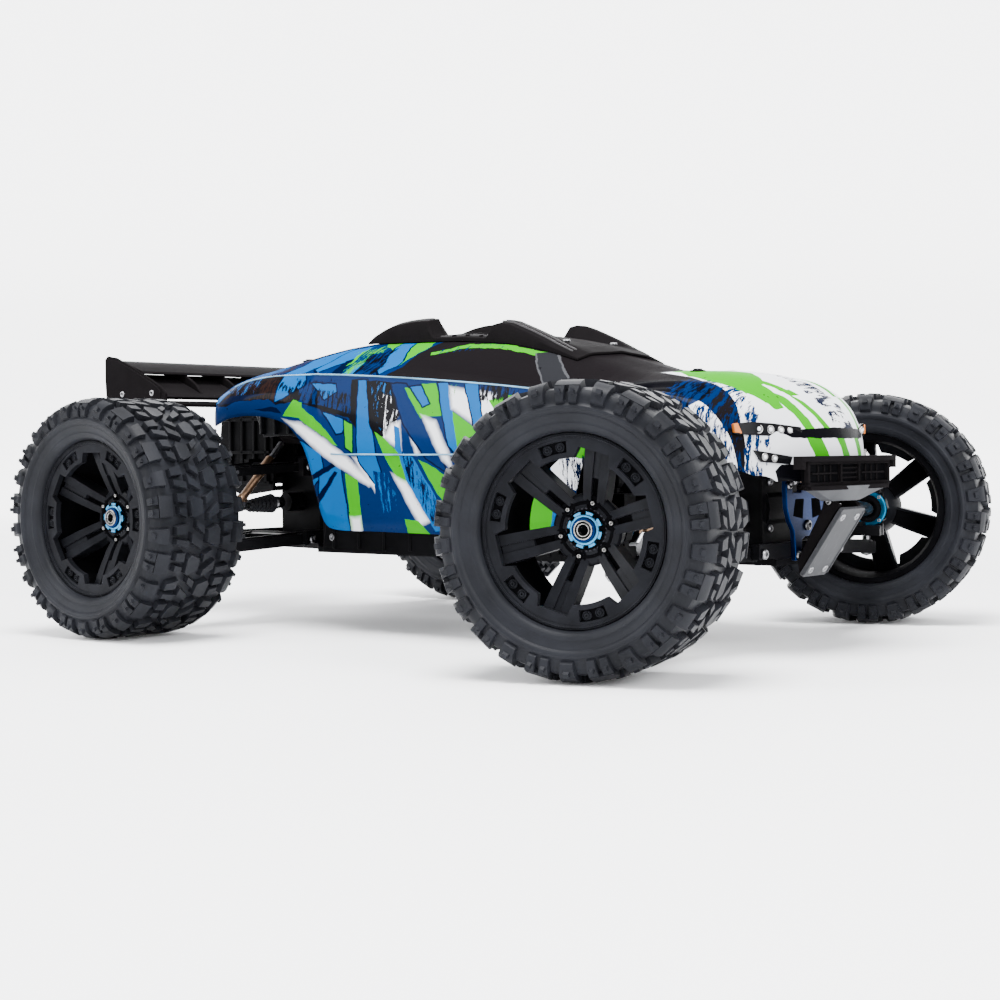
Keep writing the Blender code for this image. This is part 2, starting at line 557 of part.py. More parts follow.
# ---- shell ----
# One row per cross-section, rear to front. x is the centre line's; sweep moves the shoulder along X.
# Then centre z, and (y, z) of the roof edge, window foot, shoulder, feature line and bottom edge.
SHELL_SECTIONS = (
    (-0.1880, 0.022, 0.1835, (0.050, 0.1800), (0.084, 0.1725), (0.104, 0.1640), (0.110, 0.1540), (0.110, 0.1440)),
    (-0.1720, 0.020, 0.1868, (0.051, 0.1832), (0.084, 0.1762), (0.104, 0.1705), (0.112, 0.1590), (0.112, 0.1485)),
    (-0.1520, 0.015, 0.1895, (0.052, 0.1858), (0.083, 0.1795), (0.103, 0.1750), (0.112, 0.1620), (0.112, 0.1505)),
    (-0.1300, 0.008, 0.1940, (0.053, 0.1900), (0.082, 0.1825), (0.101, 0.1775), (0.111, 0.1640), (0.111, 0.1505)),
    (-0.1080, 0.000, 0.1978, (0.053, 0.1940), (0.081, 0.1850), (0.099, 0.1785), (0.110, 0.1640), (0.110, 0.1490)),
    (-0.0940, 0.000, 0.2002, (0.053, 0.1967), (0.080, 0.1865), (0.098, 0.1785), (0.109, 0.1620), (0.109, 0.1450)),
    (-0.0850, 0.000, 0.2015, (0.053, 0.1980), (0.080, 0.1873), (0.098, 0.1785), (0.108, 0.1580), (0.108, 0.1380)),
    (-0.0775, 0.000, 0.2024, (0.053, 0.1988), (0.080, 0.1877), (0.098, 0.1785), (0.107, 0.1530), (0.107, 0.1280)),
    (-0.0720, 0.000, 0.2030, (0.053, 0.1993), (0.080, 0.1878), (0.098, 0.1785), (0.107, 0.1450), (0.106, 0.1130)),
    (-0.0680, 0.000, 0.2034, (0.053, 0.1996), (0.080, 0.1876), (0.098, 0.1782), (0.106, 0.1370), (0.105, 0.0970)),
    (-0.0620, 0.000, 0.2037, (0.053, 0.1998), (0.080, 0.1873), (0.098, 0.1780), (0.106, 0.1280), (0.103, 0.0770)),
    (-0.0520, 0.000, 0.2040, (0.053, 0.1995), (0.080, 0.1865), (0.097, 0.1775), (0.106, 0.1235), (0.100, 0.0715)),
    (-0.0200, 0.000, 0.2035, (0.053, 0.1990), (0.080, 0.1830), (0.097, 0.1755), (0.106, 0.1230), (0.099, 0.0710)),
    (0.0200, 0.000, 0.2025, (0.053, 0.1980), (0.079, 0.1785), (0.096, 0.1725), (0.106, 0.1225), (0.099, 0.0705)),
    (0.0600, 0.000, 0.2000, (0.053, 0.1945), (0.079, 0.1735), (0.095, 0.1690), (0.105, 0.1225), (0.099, 0.0700)),
    (0.0900, 0.000, 0.1955, (0.053, 0.1885), (0.078, 0.1690), (0.094, 0.1660), (0.104, 0.1225), (0.098, 0.0700)),
    (0.1120, 0.000, 0.1895, (0.055, 0.1815), (0.077, 0.1655), (0.093, 0.1635), (0.104, 0.1230), (0.099, 0.0700)),
    (0.1300, 0.000, 0.1840, (0.063, 0.1730), (0.076, 0.1628), (0.091, 0.1620), (0.103, 0.1240), (0.099, 0.0705)),
    (0.1420, 0.000, 0.1805, (0.067, 0.1680), (0.077, 0.1620), (0.090, 0.1615), (0.102, 0.1260), (0.098, 0.0720)),
    (0.1470, 0.000, 0.1793, (0.068, 0.1665), (0.077, 0.1615), (0.090, 0.1610), (0.102, 0.1300), (0.099, 0.0880)),
    (0.1520, 0.000, 0.1780, (0.069, 0.1658), (0.077, 0.1612), (0.090, 0.1607), (0.101, 0.1360), (0.099, 0.1060)),
    (0.1570, 0.000, 0.1770, (0.069, 0.1652), (0.077, 0.1610), (0.090, 0.1604), (0.100, 0.1420), (0.099, 0.1220)),
    (0.1630, 0.000, 0.1760, (0.069, 0.1650), (0.078, 0.1610), (0.090, 0.1602), (0.099, 0.1480), (0.099, 0.1340)),
    (0.1720, 0.000, 0.1755, (0.068, 0.1650), (0.078, 0.1612), (0.090, 0.1600), (0.098, 0.1530), (0.098, 0.1440)),
    (0.1900, 0.000, 0.1748, (0.064, 0.1665), (0.078, 0.1620), (0.090, 0.1600), (0.096, 0.1555), (0.096, 0.1510)),
    (0.2100, -0.002, 0.1738, (0.061, 0.1665), (0.078, 0.1620), (0.089, 0.1590), (0.094, 0.1540), (0.094, 0.1490)),
    (0.2280, -0.006, 0.1715, (0.060, 0.1645), (0.077, 0.1600), (0.087, 0.1560), (0.092, 0.1500), (0.092, 0.1440)),
    (0.2430, -0.011, 0.1680, (0.060, 0.1610), (0.076, 0.1560), (0.085, 0.1520), (0.090, 0.1445), (0.090, 0.1370)),
    (0.2550, -0.016, 0.1630, (0.059, 0.1560), (0.075, 0.1510), (0.084, 0.1460), (0.087, 0.1380), (0.087, 0.1300)),
    (0.2650, -0.021, 0.1560, (0.058, 0.1490), (0.073, 0.1440), (0.082, 0.1390), (0.084, 0.1310), (0.084, 0.1230)),
    (0.2720, -0.025, 0.1480, (0.057, 0.1410), (0.072, 0.1370), (0.080, 0.1330), (0.082, 0.1250), (0.082, 0.1180)),
    (0.2765, -0.027, 0.1380, (0.056, 0.1330), (0.070, 0.1290), (0.079, 0.1260), (0.081, 0.1200), (0.081, 0.1150)),
    (0.2790, -0.028, 0.1230, (0.055, 0.1200), (0.069, 0.1190), (0.078, 0.1180), (0.079, 0.1160), (0.079, 0.1130)),
    (0.2792, -0.028, 0.1040, (0.055, 0.1050), (0.068, 0.1085), (0.076, 0.1115), (0.077, 0.1130), (0.077, 0.1110)),
)


def shell_section(row):
    """The right-to-left line of points across the shell at one cross-section."""
    x, sweep, centre_z, roof, window, shoulder, feature, bottom = row
    mid_roof = (roof[0] * 0.6, centre_z - 0.28 * (centre_z - roof[1]))
    left = [mid_roof, roof, window, shoulder, feature, bottom]

    def point(y, z):
        return Vector((x + sweep * (y / shoulder[0]) ** 2, y, z))

    half = [point(y, z) for y, z in left]
    mirrored = [Vector((p.x, -p.y, p.z)) for p in reversed(half)]
    return mirrored + [Vector((x, 0, centre_z))] + half


def sheet_grid(rows):
    bm = bmesh.new()
    grid = [[bm.verts.new(p) for p in row] for row in rows]
    for first, second in zip(grid, grid[1:]):
        for k in range(len(first) - 1):
            bm.faces.new((first[k], first[k + 1], second[k + 1], second[k]))
    return bm


def thicken(bm, thickness):
    """Give an open sheet its thickness on its under side."""
    bmesh.ops.recalc_face_normals(bm, faces=bm.faces)
    bm.normal_update()
    upward = sum(face.normal.z * face.calc_area() for face in bm.faces)
    if upward < 0:
        bmesh.ops.reverse_faces(bm, faces=bm.faces)
    obj = mesh_object("work_sheet", bm)
    solid = obj.modifiers.new("thickness", "SOLIDIFY")
    solid.thickness = thickness
    solid.offset = -1.0
    solid.use_even_offset = False
    evaluated = obj.evaluated_get(bpy.context.evaluated_depsgraph_get())
    made = bmesh.new()
    made.from_mesh(evaluated.to_mesh())
    evaluated.to_mesh_clear()
    bpy.data.objects.remove(obj, do_unlink=True)
    return closed(made)


def make_shell():
    rows = [shell_section(row) for row in SHELL_SECTIONS]
    node("body_shell", thicken(sheet_grid(rows), SHELL_THICK), "painted_blue", smooth=25)


def roof_height(x, y):
    """Height of the shell's roof at (x, y), from the sections on either side of x."""
    for before, after in zip(SHELL_SECTIONS, SHELL_SECTIONS[1:]):
        if before[0] <= x <= after[0]:
            share = (x - before[0]) / (after[0] - before[0])
            heights = []
            for row in (before, after):
                centre_z, roof = row[2], row[3]
                mid = (roof[0] * 0.6, centre_z - 0.28 * (centre_z - roof[1]))
                if abs(y) <= mid[0]:
                    heights.append(centre_z + (mid[1] - centre_z) * abs(y) / mid[0])
                else:
                    heights.append(mid[1] + (roof[1] - mid[1]) * (abs(y) - mid[0]) / (roof[0] - mid[0]))
            return heights[0] + (heights[1] - heights[0]) * share
    return 0.0


# The roof skid's rails: (x, rise above the roof) along each outer edge, and the rise between them.
RAIL_RISE = (
    (-0.070, 0.0030), (-0.058, 0.0070), (-0.030, 0.0120), (-0.012, 0.0150), (-0.003, 0.0155), (0.001, 0.0035),
    (0.043, 0.0035), (0.048, 0.0145), (0.060, 0.0140), (0.085, 0.0080), (0.106, 0.0035), (0.114, 0.0025),
)
SKID_RISE = 0.0030
SKID_HALF_WIDTH = 0.050
SKID_UNDER = 0.0009


def make_roof_skid():
    """A plate over the roof with a raised rail at each of its four corners."""
    across = [-SKID_HALF_WIDTH, -0.036, -0.032, 0.0, 0.032, 0.036, SKID_HALF_WIDTH]
    bm = bmesh.new()
    low, top = [], []
    for x, rail in RAIL_RISE:
        low.append([bm.verts.new((x, y, roof_height(x, y) + SKID_UNDER)) for y in across])
        rises = [rail if abs(y) > 0.034 else min(rail, SKID_RISE) for y in across]
        top.append([bm.verts.new((x, y, roof_height(x, y) + rise)) for y, rise in zip(across, rises)])
    ends_x = (0, len(RAIL_RISE) - 1)
    ends_y = (0, len(across) - 1)
    for i in range(ends_x[1]):
        for j in range(ends_y[1]):
            for grid in (low, top):
                bm.faces.new((grid[i][j], grid[i + 1][j], grid[i + 1][j + 1], grid[i][j + 1]))
    for j in range(ends_y[1]):
        for i in ends_x:
            bm.faces.new((low[i][j], low[i][j + 1], top[i][j + 1], top[i][j]))
    for i in range(ends_x[1]):
        for j in ends_y:
            bm.faces.new((low[i][j], low[i + 1][j], top[i + 1][j], top[i][j]))
    node("roof_skid", closed(bm), "satin_black")


def make_wing():
    blade_outline = [(-0.2890, 0.1930), (-0.2860, 0.1955), (-0.2600, 0.1830), (-0.2330, 0.1720), (-0.2310, 0.1690),
                     (-0.2600, 0.1790)]
    blade = prism(blade_outline, along_y, -WING_HALF_SPAN, WING_HALF_SPAN)
    plate_outline = [(-0.2920, 0.1645), (-0.2925, 0.1990), (-0.2800, 0.1975), (-0.2400, 0.1800), (-0.2240, 0.1700),
                     (-0.2250, 0.1600)]
    plates = [prism(plate_outline, along_y, side * (WING_HALF_SPAN - 0.0015), side * (WING_HALF_SPAN + 0.0015))
              for side in (1, -1)]
    low_bar = box((-0.2420, -0.2260), (-WING_HALF_SPAN, WING_HALF_SPAN), (0.1600, 0.1640))
    strut_outline = [(-0.2500, 0.1610), (-0.2450, 0.1765), (-0.2340, 0.1730), (-0.1930, 0.1745), (-0.1930, 0.1610)]
    struts = [prism(strut_outline, along_y, side * 0.0180, side * 0.0240) for side in (1, -1)]
    node("rear_wing", union(blade, low_bar, *plates, *struts), "satin_black")


def main():
    clear_scene()
    make_tub()
    gear_housing("front_gear_housing", FRONT_AXLE_X, -1)
    gear_housing("rear_gear_housing", REAR_AXLE_X, 1)
    make_power_train()
    make_front_end()
    make_steering()
    for name in CORNERS:
        make_corner(name)
    make_shell()
    make_roof_skid()
    make_wing()


main()
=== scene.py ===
"""Looks of the radio-controlled monster truck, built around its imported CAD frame.

Pieces are modelled in millimetres in the truck's own layout: +X forward, +Y left, +Z up, with
lengthwise places measured from a station between the axles. Objects are made from them in metres,
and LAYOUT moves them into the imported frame. A wheel is modelled about its own centre, +Y outward.
"""
import json
import math

import bmesh
import bpy
from mathutils import Matrix, Vector


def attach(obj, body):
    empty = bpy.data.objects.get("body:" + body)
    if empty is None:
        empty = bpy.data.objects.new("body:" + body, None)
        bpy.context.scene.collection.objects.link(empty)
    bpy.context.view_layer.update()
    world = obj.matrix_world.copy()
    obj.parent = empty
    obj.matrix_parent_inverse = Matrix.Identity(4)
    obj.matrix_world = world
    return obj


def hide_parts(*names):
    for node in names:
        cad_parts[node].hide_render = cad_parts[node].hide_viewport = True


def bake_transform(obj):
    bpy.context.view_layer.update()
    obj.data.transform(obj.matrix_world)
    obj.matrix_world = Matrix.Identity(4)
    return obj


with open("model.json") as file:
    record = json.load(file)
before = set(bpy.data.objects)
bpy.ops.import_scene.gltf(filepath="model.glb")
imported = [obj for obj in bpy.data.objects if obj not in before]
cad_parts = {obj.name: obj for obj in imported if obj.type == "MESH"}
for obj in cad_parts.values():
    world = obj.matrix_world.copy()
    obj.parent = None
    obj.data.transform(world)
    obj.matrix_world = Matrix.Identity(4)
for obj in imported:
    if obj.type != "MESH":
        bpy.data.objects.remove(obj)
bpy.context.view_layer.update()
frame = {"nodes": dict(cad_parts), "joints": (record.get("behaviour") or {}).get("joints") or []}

MM = 0.001
MIDDLE_X = 10
LAYOUT = Matrix.Translation((-MIDDLE_X * MM, 0, 0))

# ---- wheels ----
PITCHES = 13
RIM_FACE = 30.4
LIP_R = 52.4
SPOKES = 6
RING_IN = 39.2
RING_OUT = 50.5
RING_FACE = 29
HUB_FACE = 7.8

# ---- suspension places, the same as in the frame ----
AXLE_X = {"front": 216.5, "rear": -164.5}
TOWARD = {"front": -1, "rear": 1}
HINGE_Y = 47
KINGPIN_Y = 153
AXLE_Z = 81.5
LOWER_HINGE_Z = 61
UPPER_HINGE_Z = 114
PUSH_TOWARD = 9.5
PUSH_FOOT = (118, 66.5)
PUSH_HEAD = (47, 137)
ROCKER_LEVER = 28
SHOCK_LEVER = 20
STEER = {"front_left": math.radians(20.4), "front_right": math.radians(15.7), "rear_left": 0, "rear_right": 0}
# degrees that turn the spokes to the way they stand, counter-clockwise seen from outside
SPOKE_TURN = {"front_left": 20, "front_right": 14, "rear_left": 12, "rear_right": 30}

BLUE = (0.0002, 0.0105, 0.0540)
SKY = (0.0, 0.0660, 0.2200)
NAVY = (0.0005, 0.0025, 0.0140)
GREEN = (0.0220, 0.2300, 0.0015)
WHITE = (0.6200, 0.6300, 0.6600)
BLACK = (0.0020, 0.0020, 0.0030)
BROWN = (0.0110, 0.0050, 0.0040)
SMOKE = (0.0056, 0.0048, 0.0054)
PILLAR = (0.0130, 0.0135, 0.0155)
EDGE = (0.0450, 0.0460, 0.0500)


# ================= materials =================
class Graph:
    """A short way to write a material's nodes."""

    def __init__(self, name):
        self.material = bpy.data.materials.new(name)
        self.material.use_nodes = True
        self.tree = self.material.node_tree
        self.shader = self.tree.nodes["Principled BSDF"]
        self.place = self.add("TexCoord").outputs["Object"]

    def add(self, kind, inputs=(), **settings):
        made = self.tree.nodes.new("ShaderNode" + kind)
        for key, value in settings.items():
            setattr(made, key, value)
        for key, value in dict(inputs).items():
            self.put(made.inputs[key], value)
        return made

    def put(self, socket, value):
        if isinstance(value, bpy.types.NodeSocket):
            self.tree.links.new(value, socket)
        else:
            socket.default_value = value

    def math(self, operation, *values):
        return self.add("Math", enumerate(values), operation=operation).outputs[0]

    def above(self, value, limit):
        return self.math("GREATER_THAN", value, limit)

    def mix(self, factor, first, second):
        return self.add("Mix", {0: factor, 6: first, 7: second}, data_type="RGBA").outputs[2]

    def noise(self, scale, detail=3.0, rough=0.5, vector=None):
        inputs = {"Vector": vector or self.place, "Scale": scale, "Detail": detail, "Roughness": rough}
        return self.add("TexNoise", inputs).outputs[0]

    def mapped(self, scale, turn=(0, 0, 0)):
        return self.add("Mapping", {"Vector": self.place, "Rotation": turn, "Scale": scale}).outputs[0]

    def level(self, value, low, high, to_low=0.0, to_high=1.0):
        return self.add("MapRange", {0: value, 1: low, 2: high, 3: to_low, 4: to_high}).outputs[0]

    def spread(self, value, low, high):
        """A noise's usual range, brought to low and high."""
        return self.level(value, 0.3, 0.7, low, high)

    def surface(self, base, rough, height, depth, **more):
        """Set the shader's inputs; in their names an underscore stands for a space. depth is in metres."""
        for key, value in {"Base_Color": base, "Roughness": rough, **more}.items():
            self.put(self.shader.inputs[key.replace("_", " ")], value)
        bump = self.add("Bump", {"Height": height, "Distance": depth, "Strength": 1.0})
        self.put(self.shader.inputs["Normal"], bump.outputs[0])
        return self.material


def colour(rgb, strength=1.0):
    return (*(min(1.0, c * strength) for c in rgb), 1.0)


def finish(name, rgb, rough, grain=900.0, depth=0.00004, vary=0.25, coat=0.0, blotch=60.0, ior=1.18):
    """A grained surface: broad noise in its colour, fine noise in its roughness and height."""
    g = Graph(name)
    broad = g.level(g.noise(blotch), 0.35, 0.65)
    fine = g.noise(grain, 2.0)
    return g.surface(g.mix(broad, colour(rgb, 1 - vary), colour(rgb, 1 + vary)),
                     g.spread(fine, rough * 0.88, min(1.0, rough * 1.12)), fine, depth,
                     IOR=ior, Coat_Weight=coat, Coat_Roughness=0.06)


def brushed(name, rgb, rough):
    """Machined metal with fine lines along one direction."""
    g = Graph(name)
    lines = g.noise(300.0, 4.0, vector=g.mapped((1, 1, 30)))
    return g.surface(g.mix(lines, colour(rgb, 0.8), colour(rgb)), g.spread(lines, rough * 0.8, rough * 1.25),
                     lines, 0.00003, Metallic=1.0)


def scuffed_plate():
    """Grey moulded plate with scratches running down it."""
    g = Graph("scuffed_grey")
    scratch = g.level(g.noise(3.0, 6.0, 0.7, g.mapped((40, 260, 40))), 0.58, 0.68)
    base = g.mix(g.noise(90.0), colour((0.028, 0.029, 0.032)), colour((0.040, 0.041, 0.045)))
    return g.surface(g.mix(scratch, base, colour((0.065, 0.065, 0.070))), 0.55, g.noise(1500.0, 2.0), 0.00005,
                     IOR=1.25)


def glossy_black():
    g = Graph("gloss_black")
    return g.surface(colour((0.0025, 0.0025, 0.0032)), g.spread(g.noise(25.0), 0.16, 0.24),
                     g.noise(40.0, 2.0), 0.00008, IOR=1.18, Coat_Weight=0.10, Coat_Roughness=0.08)


def inside_distance(g, point, corners):
    """Distance in metres inward from a convex outline in millimetres, for a point vector (a, b, 1)."""
    corners = [(a * MM, b * MM) for a, b in corners]
    middle = Vector((*(sum(c) / len(corners) for c in zip(*corners)), 1))
    distance = None
    for (a0, b0), (a1, b1) in zip(corners, corners[1:] + corners[:1]):
        line = Vector((b0 - b1, a1 - a0, a0 * b1 - a1 * b0)) / math.hypot(b0 - b1, a1 - a0)
        if line.dot(middle) < 0:
            line = -line
        edge = g.add("VectorMath", {0: point, 1: line}, operation="DOT_PRODUCT").outputs["Value"]
        distance = edge if distance is None else g.math("MINIMUM", distance, edge)
    return distance


def style_mask(g, style, inside, torn):
    """Where a layer covers, as the styles of livery say."""
    if style == "soft":
        return g.level(inside, 0.0, 0.0035)
    if style == "torn":
        ragged = g.math("MULTIPLY_ADD", g.math("SUBTRACT", torn, 0.5), 0.02, inside)
        return g.math("MULTIPLY", g.above(ragged, 0.0), g.above(torn, 0.50))
    if style == "scratch":
        return g.math("MULTIPLY", g.above(inside, 0.0), g.above(torn, 0.57))
    return g.above(inside, 0.0)


def livery(name, axes, base, layers, ior=1.05, coat=0.03):
    """Painted graphics: outlines laid over each other, with ragged edges. axes picks two of X, Y and Z.

    Styles: edge is solid, lined has a dark contour, soft fades at its border, torn and scratch break
    into strokes.
    """
    rag, contour = 0.0012, -0.0011
    g = Graph(name)
    source = g.add("SeparateXYZ", {0: g.place}).outputs
    wobble = g.add("TexNoise", {"Vector": g.place, "Scale": 130.0, "Detail": 4.0}).outputs[1]
    shifts = g.add("SeparateXYZ", {0: wobble}).outputs
    ragged = [g.math("MULTIPLY_ADD", g.math("SUBTRACT", shift, 0.5), rag * 2, source[axis])
              for axis, shift in zip(axes, shifts)]
    point = g.add("CombineXYZ", {0: ragged[0], 1: ragged[1], 2: 1.0}).outputs[0]
    torn = g.noise(1.0, 5.0, 0.75, g.mapped((420, 60, 70), (0, 0.95, 0)))
    shade = colour(base)
    for paint, style, corners in layers:
        inside = inside_distance(g, point, corners)
        if style == "lined":
            shade = g.mix(g.above(inside, contour), shade, colour(NAVY))
        shade = g.mix(style_mask(g, style, inside, torn), shade, colour(paint))
    shade = g.mix(g.above(g.noise(260.0, 3.0, 0.7), 0.715), shade, colour(BLACK))
    return g.surface(shade, g.spread(g.noise(700.0, 2.0), 0.26, 0.34), g.noise(45.0, 2.0), 0.00010,
                     IOR=ior, Coat_Weight=coat, Coat_Roughness=0.07)


def both(paint, style, corners, flip=(1, -1)):
    """A layer and its mirror image."""
    return ((paint, style, [(a * flip[0], b * flip[1]) for a, b in corners]), (paint, style, corners))


# outlines in millimetres, lowest first: paint, style and convex corners, along the axes that the livery takes
SIDE_LAYERS = (
    (BLACK, "edge", [(-180, 172), (-140, 182), (-86, 182), (-82, 160), (-120, 156), (-160, 158)]),
    (BROWN, "torn", [(-172, 166), (-140, 180), (-90, 180), (-86, 162), (-120, 158)]),
    (SKY, "lined", [(-190, 166), (-168, 172), (-150, 168), (-160, 161), (-186, 150)]),
    (SKY, "scratch", [(-152, 176), (-122, 179), (-118, 164), (-148, 164)]),
    (NAVY, "edge", [(-180, 152), (-146, 165), (-112, 166), (-108, 162), (-140, 160)]),
    (BLUE, "edge", [(-172, 150), (-140, 161), (-108, 162), (-88, 150), (-150, 144)]),
    (NAVY, "edge", [(-150, 152), (-124, 158), (-100, 156), (-96, 152), (-122, 155)]),
    (SKY, "lined", [(-103, 180), (-84, 180), (-80, 172), (-96, 162), (-102, 160)]),
    (NAVY, "torn", [(-86, 174), (-50, 172), (-46, 158), (-80, 160)]),
    (BLUE, "edge", [(-100, 152), (-70, 118), (-60, 72), (-30, 72), (-42, 118), (-70, 142)]),
    (SKY, "lined", [(-92, 138), (-62, 124), (-60, 112), (-72, 98), (-82, 117)]),
    (SKY, "lined", [(-64, 109), (-44, 117), (-41, 71), (-67, 71)]),
    (NAVY, "edge", [(-74, 108), (-42, 121), (-41, 118), (-74, 104)]),
    (NAVY, "edge", [(-68, 93), (-50, 112), (-47, 111), (-67, 88)]),
    (BLUE, "edge", [(-78, 172), (-40, 174), (-36, 140), (-60, 160)]),
    (SKY, "lined", [(-74, 172), (-54, 171), (-52, 166), (-62, 161)]),
    (BLACK, "edge", [(-100, 166), (-60, 156), (-34, 152), (-34, 147), (-60, 152)]),
    (BLACK, "torn", [(-104, 172), (-30, 162), (-32, 146), (-66, 155)]),
    (SKY, "lined", [(-62, 152), (-40, 146), (-43, 138), (-48, 137)]),
    (WHITE, "soft", [(-98, 149), (-78, 146), (-34, 121), (-12, 102), (-20, 100), (-62, 122)]),
    (WHITE, "soft", [(-34, 122), (-28, 122), (-6, 96), (-14, 96)]),
    (BLACK, "scratch", [(-84, 149), (-62, 140), (-46, 130), (-50, 130), (-70, 140)]),
    (GREEN, "edge", [(-95, 150), (-86, 161), (-79, 159), (-78, 148)]),
    (GREEN, "edge", [(-82, 158), (-62, 143), (-46, 129), (-50, 130), (-80, 147)]),
    (BLACK, "edge", [(-40, 174), (-30, 174), (-30, 140), (-36, 146)]),
    (SKY, "lined", [(-33, 173), (-25, 173), (-6, 106), (-14, 104), (-27, 119)]),
    (GREEN, "lined", [(-42, 146), (-34, 143), (-32, 124), (-39, 128)]),
    (GREEN, "edge", [(-40, 110), (-29, 106), (-29, 72), (-40, 72)]),
    (WHITE, "soft", [(-40.5, 82), (-28.5, 82), (-28.5, 68), (-40.5, 68)]),
    (BLUE, "edge", [(-12, 172), (10, 170), (46, 118), (30, 120), (-10, 150)]),
    (BLACK, "edge", [(-26, 173), (-2, 171), (8, 150), (2, 136), (-8, 130), (-18, 142)]),
    (SKY, "scratch", [(-22, 172), (-4, 170), (8, 140), (0, 134), (-12, 142)]),
    (WHITE, "scratch", [(-14, 164), (4, 160), (10, 134), (-4, 134)]),
    (WHITE, "soft", [(0, 144), (10, 146), (14, 122), (-6, 134)]),
    (SKY, "edge", [(4, 142), (9, 140), (14, 118), (8, 118)]),
    (GREEN, "edge", [(-13, 138), (-4, 134), (12, 122), (16, 104), (8, 104)]),
    (WHITE, "soft", [(13, 146), (17, 144), (30, 122), (24, 121)]),
    (BLUE, "lined", [(-3, 170), (10, 169), (45, 125), (50, 111), (34, 120), (12, 143)]),
    (GREEN, "edge", [(9, 167), (16, 166), (36, 151), (26, 146)]),
    (GREEN, "edge", [(22, 169), (35, 169), (46, 148), (30, 147), (24, 152)]),
    (SKY, "lined", [(14, 167), (22, 168), (32, 156), (27, 154)]),
    (WHITE, "soft", [(24, 150), (40, 146), (54, 124), (57, 110), (46, 118)]),
    (SKY, "lined", [(37, 169), (45, 169), (60, 130), (60, 122), (52, 128)]),
    (WHITE, "soft", [(45, 168), (86, 162), (94, 143), (70, 141), (50, 151)]),
    (GREEN, "scratch", [(44, 168), (56, 168), (54, 160), (44, 160)]),
    (SKY, "lined", [(59, 168), (69, 168), (78, 142), (73, 138)]),
    (GREEN, "edge", [(52, 150), (76, 138), (70, 127), (60, 125)]),
    (GREEN, "edge", [(80, 157), (98, 160), (90, 147)]),
    (BLACK, "torn", [(72, 169), (104, 166), (100, 158), (74, 157)]),
    (BLUE, "edge", [(-14, 112), (-2, 110), (12, 72), (-14, 72)]),
    (SKY, "scratch", [(-16, 112), (0, 110), (8, 84), (-10, 84)]),
    (WHITE, "soft", [(0, 112), (16, 106), (34, 78), (22, 74)]),
    (SKY, "edge", [(9, 126), (22, 121), (54, 72), (36, 72), (15, 106)]),
    (NAVY, "torn", [(10, 126), (20, 120), (50, 76), (34, 80)]),
    (GREEN, "edge", [(23, 121), (40, 114), (52, 106), (66, 72), (56, 72), (40, 98)]),
    (GREEN, "edge", [(10, 80), (22, 79), (36, 66), (12, 66)]),
    (BLUE, "edge", [(58, 122), (90, 138), (110, 72), (66, 72)]),
    (WHITE, "soft", [(82, 132), (96, 146), (116, 100), (104, 78)]),
    (BLACK, "torn", [(80, 125), (100, 130), (110, 80), (90, 76)]),
    (GREEN, "edge", [(88, 104), (106, 100), (112, 72), (96, 72)]),
    (SKY, "edge", [(112, 152), (126, 152), (142, 74), (128, 74)]),
    (GREEN, "edge", [(134, 132), (162, 132), (160, 119), (136, 122)]),
    (WHITE, "edge", [(132, 122), (160, 119), (150, 100), (134, 108)]),
    (NAVY, "torn", [(140, 122), (160, 119), (150, 100), (142, 106)]),
    (WHITE, "soft", [(108, 108), (134, 101), (134, 88), (108, 92)]),
    (GREEN, "edge", [(108, 98), (134, 92), (130, 74), (108, 74)]),
    (BLACK, "edge", [(158, 162), (232, 158), (222, 146), (160, 132)]),
    (BLUE, "torn", [(196, 160), (236, 156), (248, 128), (206, 148)]),
    (WHITE, "edge", [(238, 160), (226, 150), (250, 110), (300, 110), (300, 150)]),
    (BLUE, "torn", [(230, 150), (252, 142), (256, 112), (240, 120)]),
)

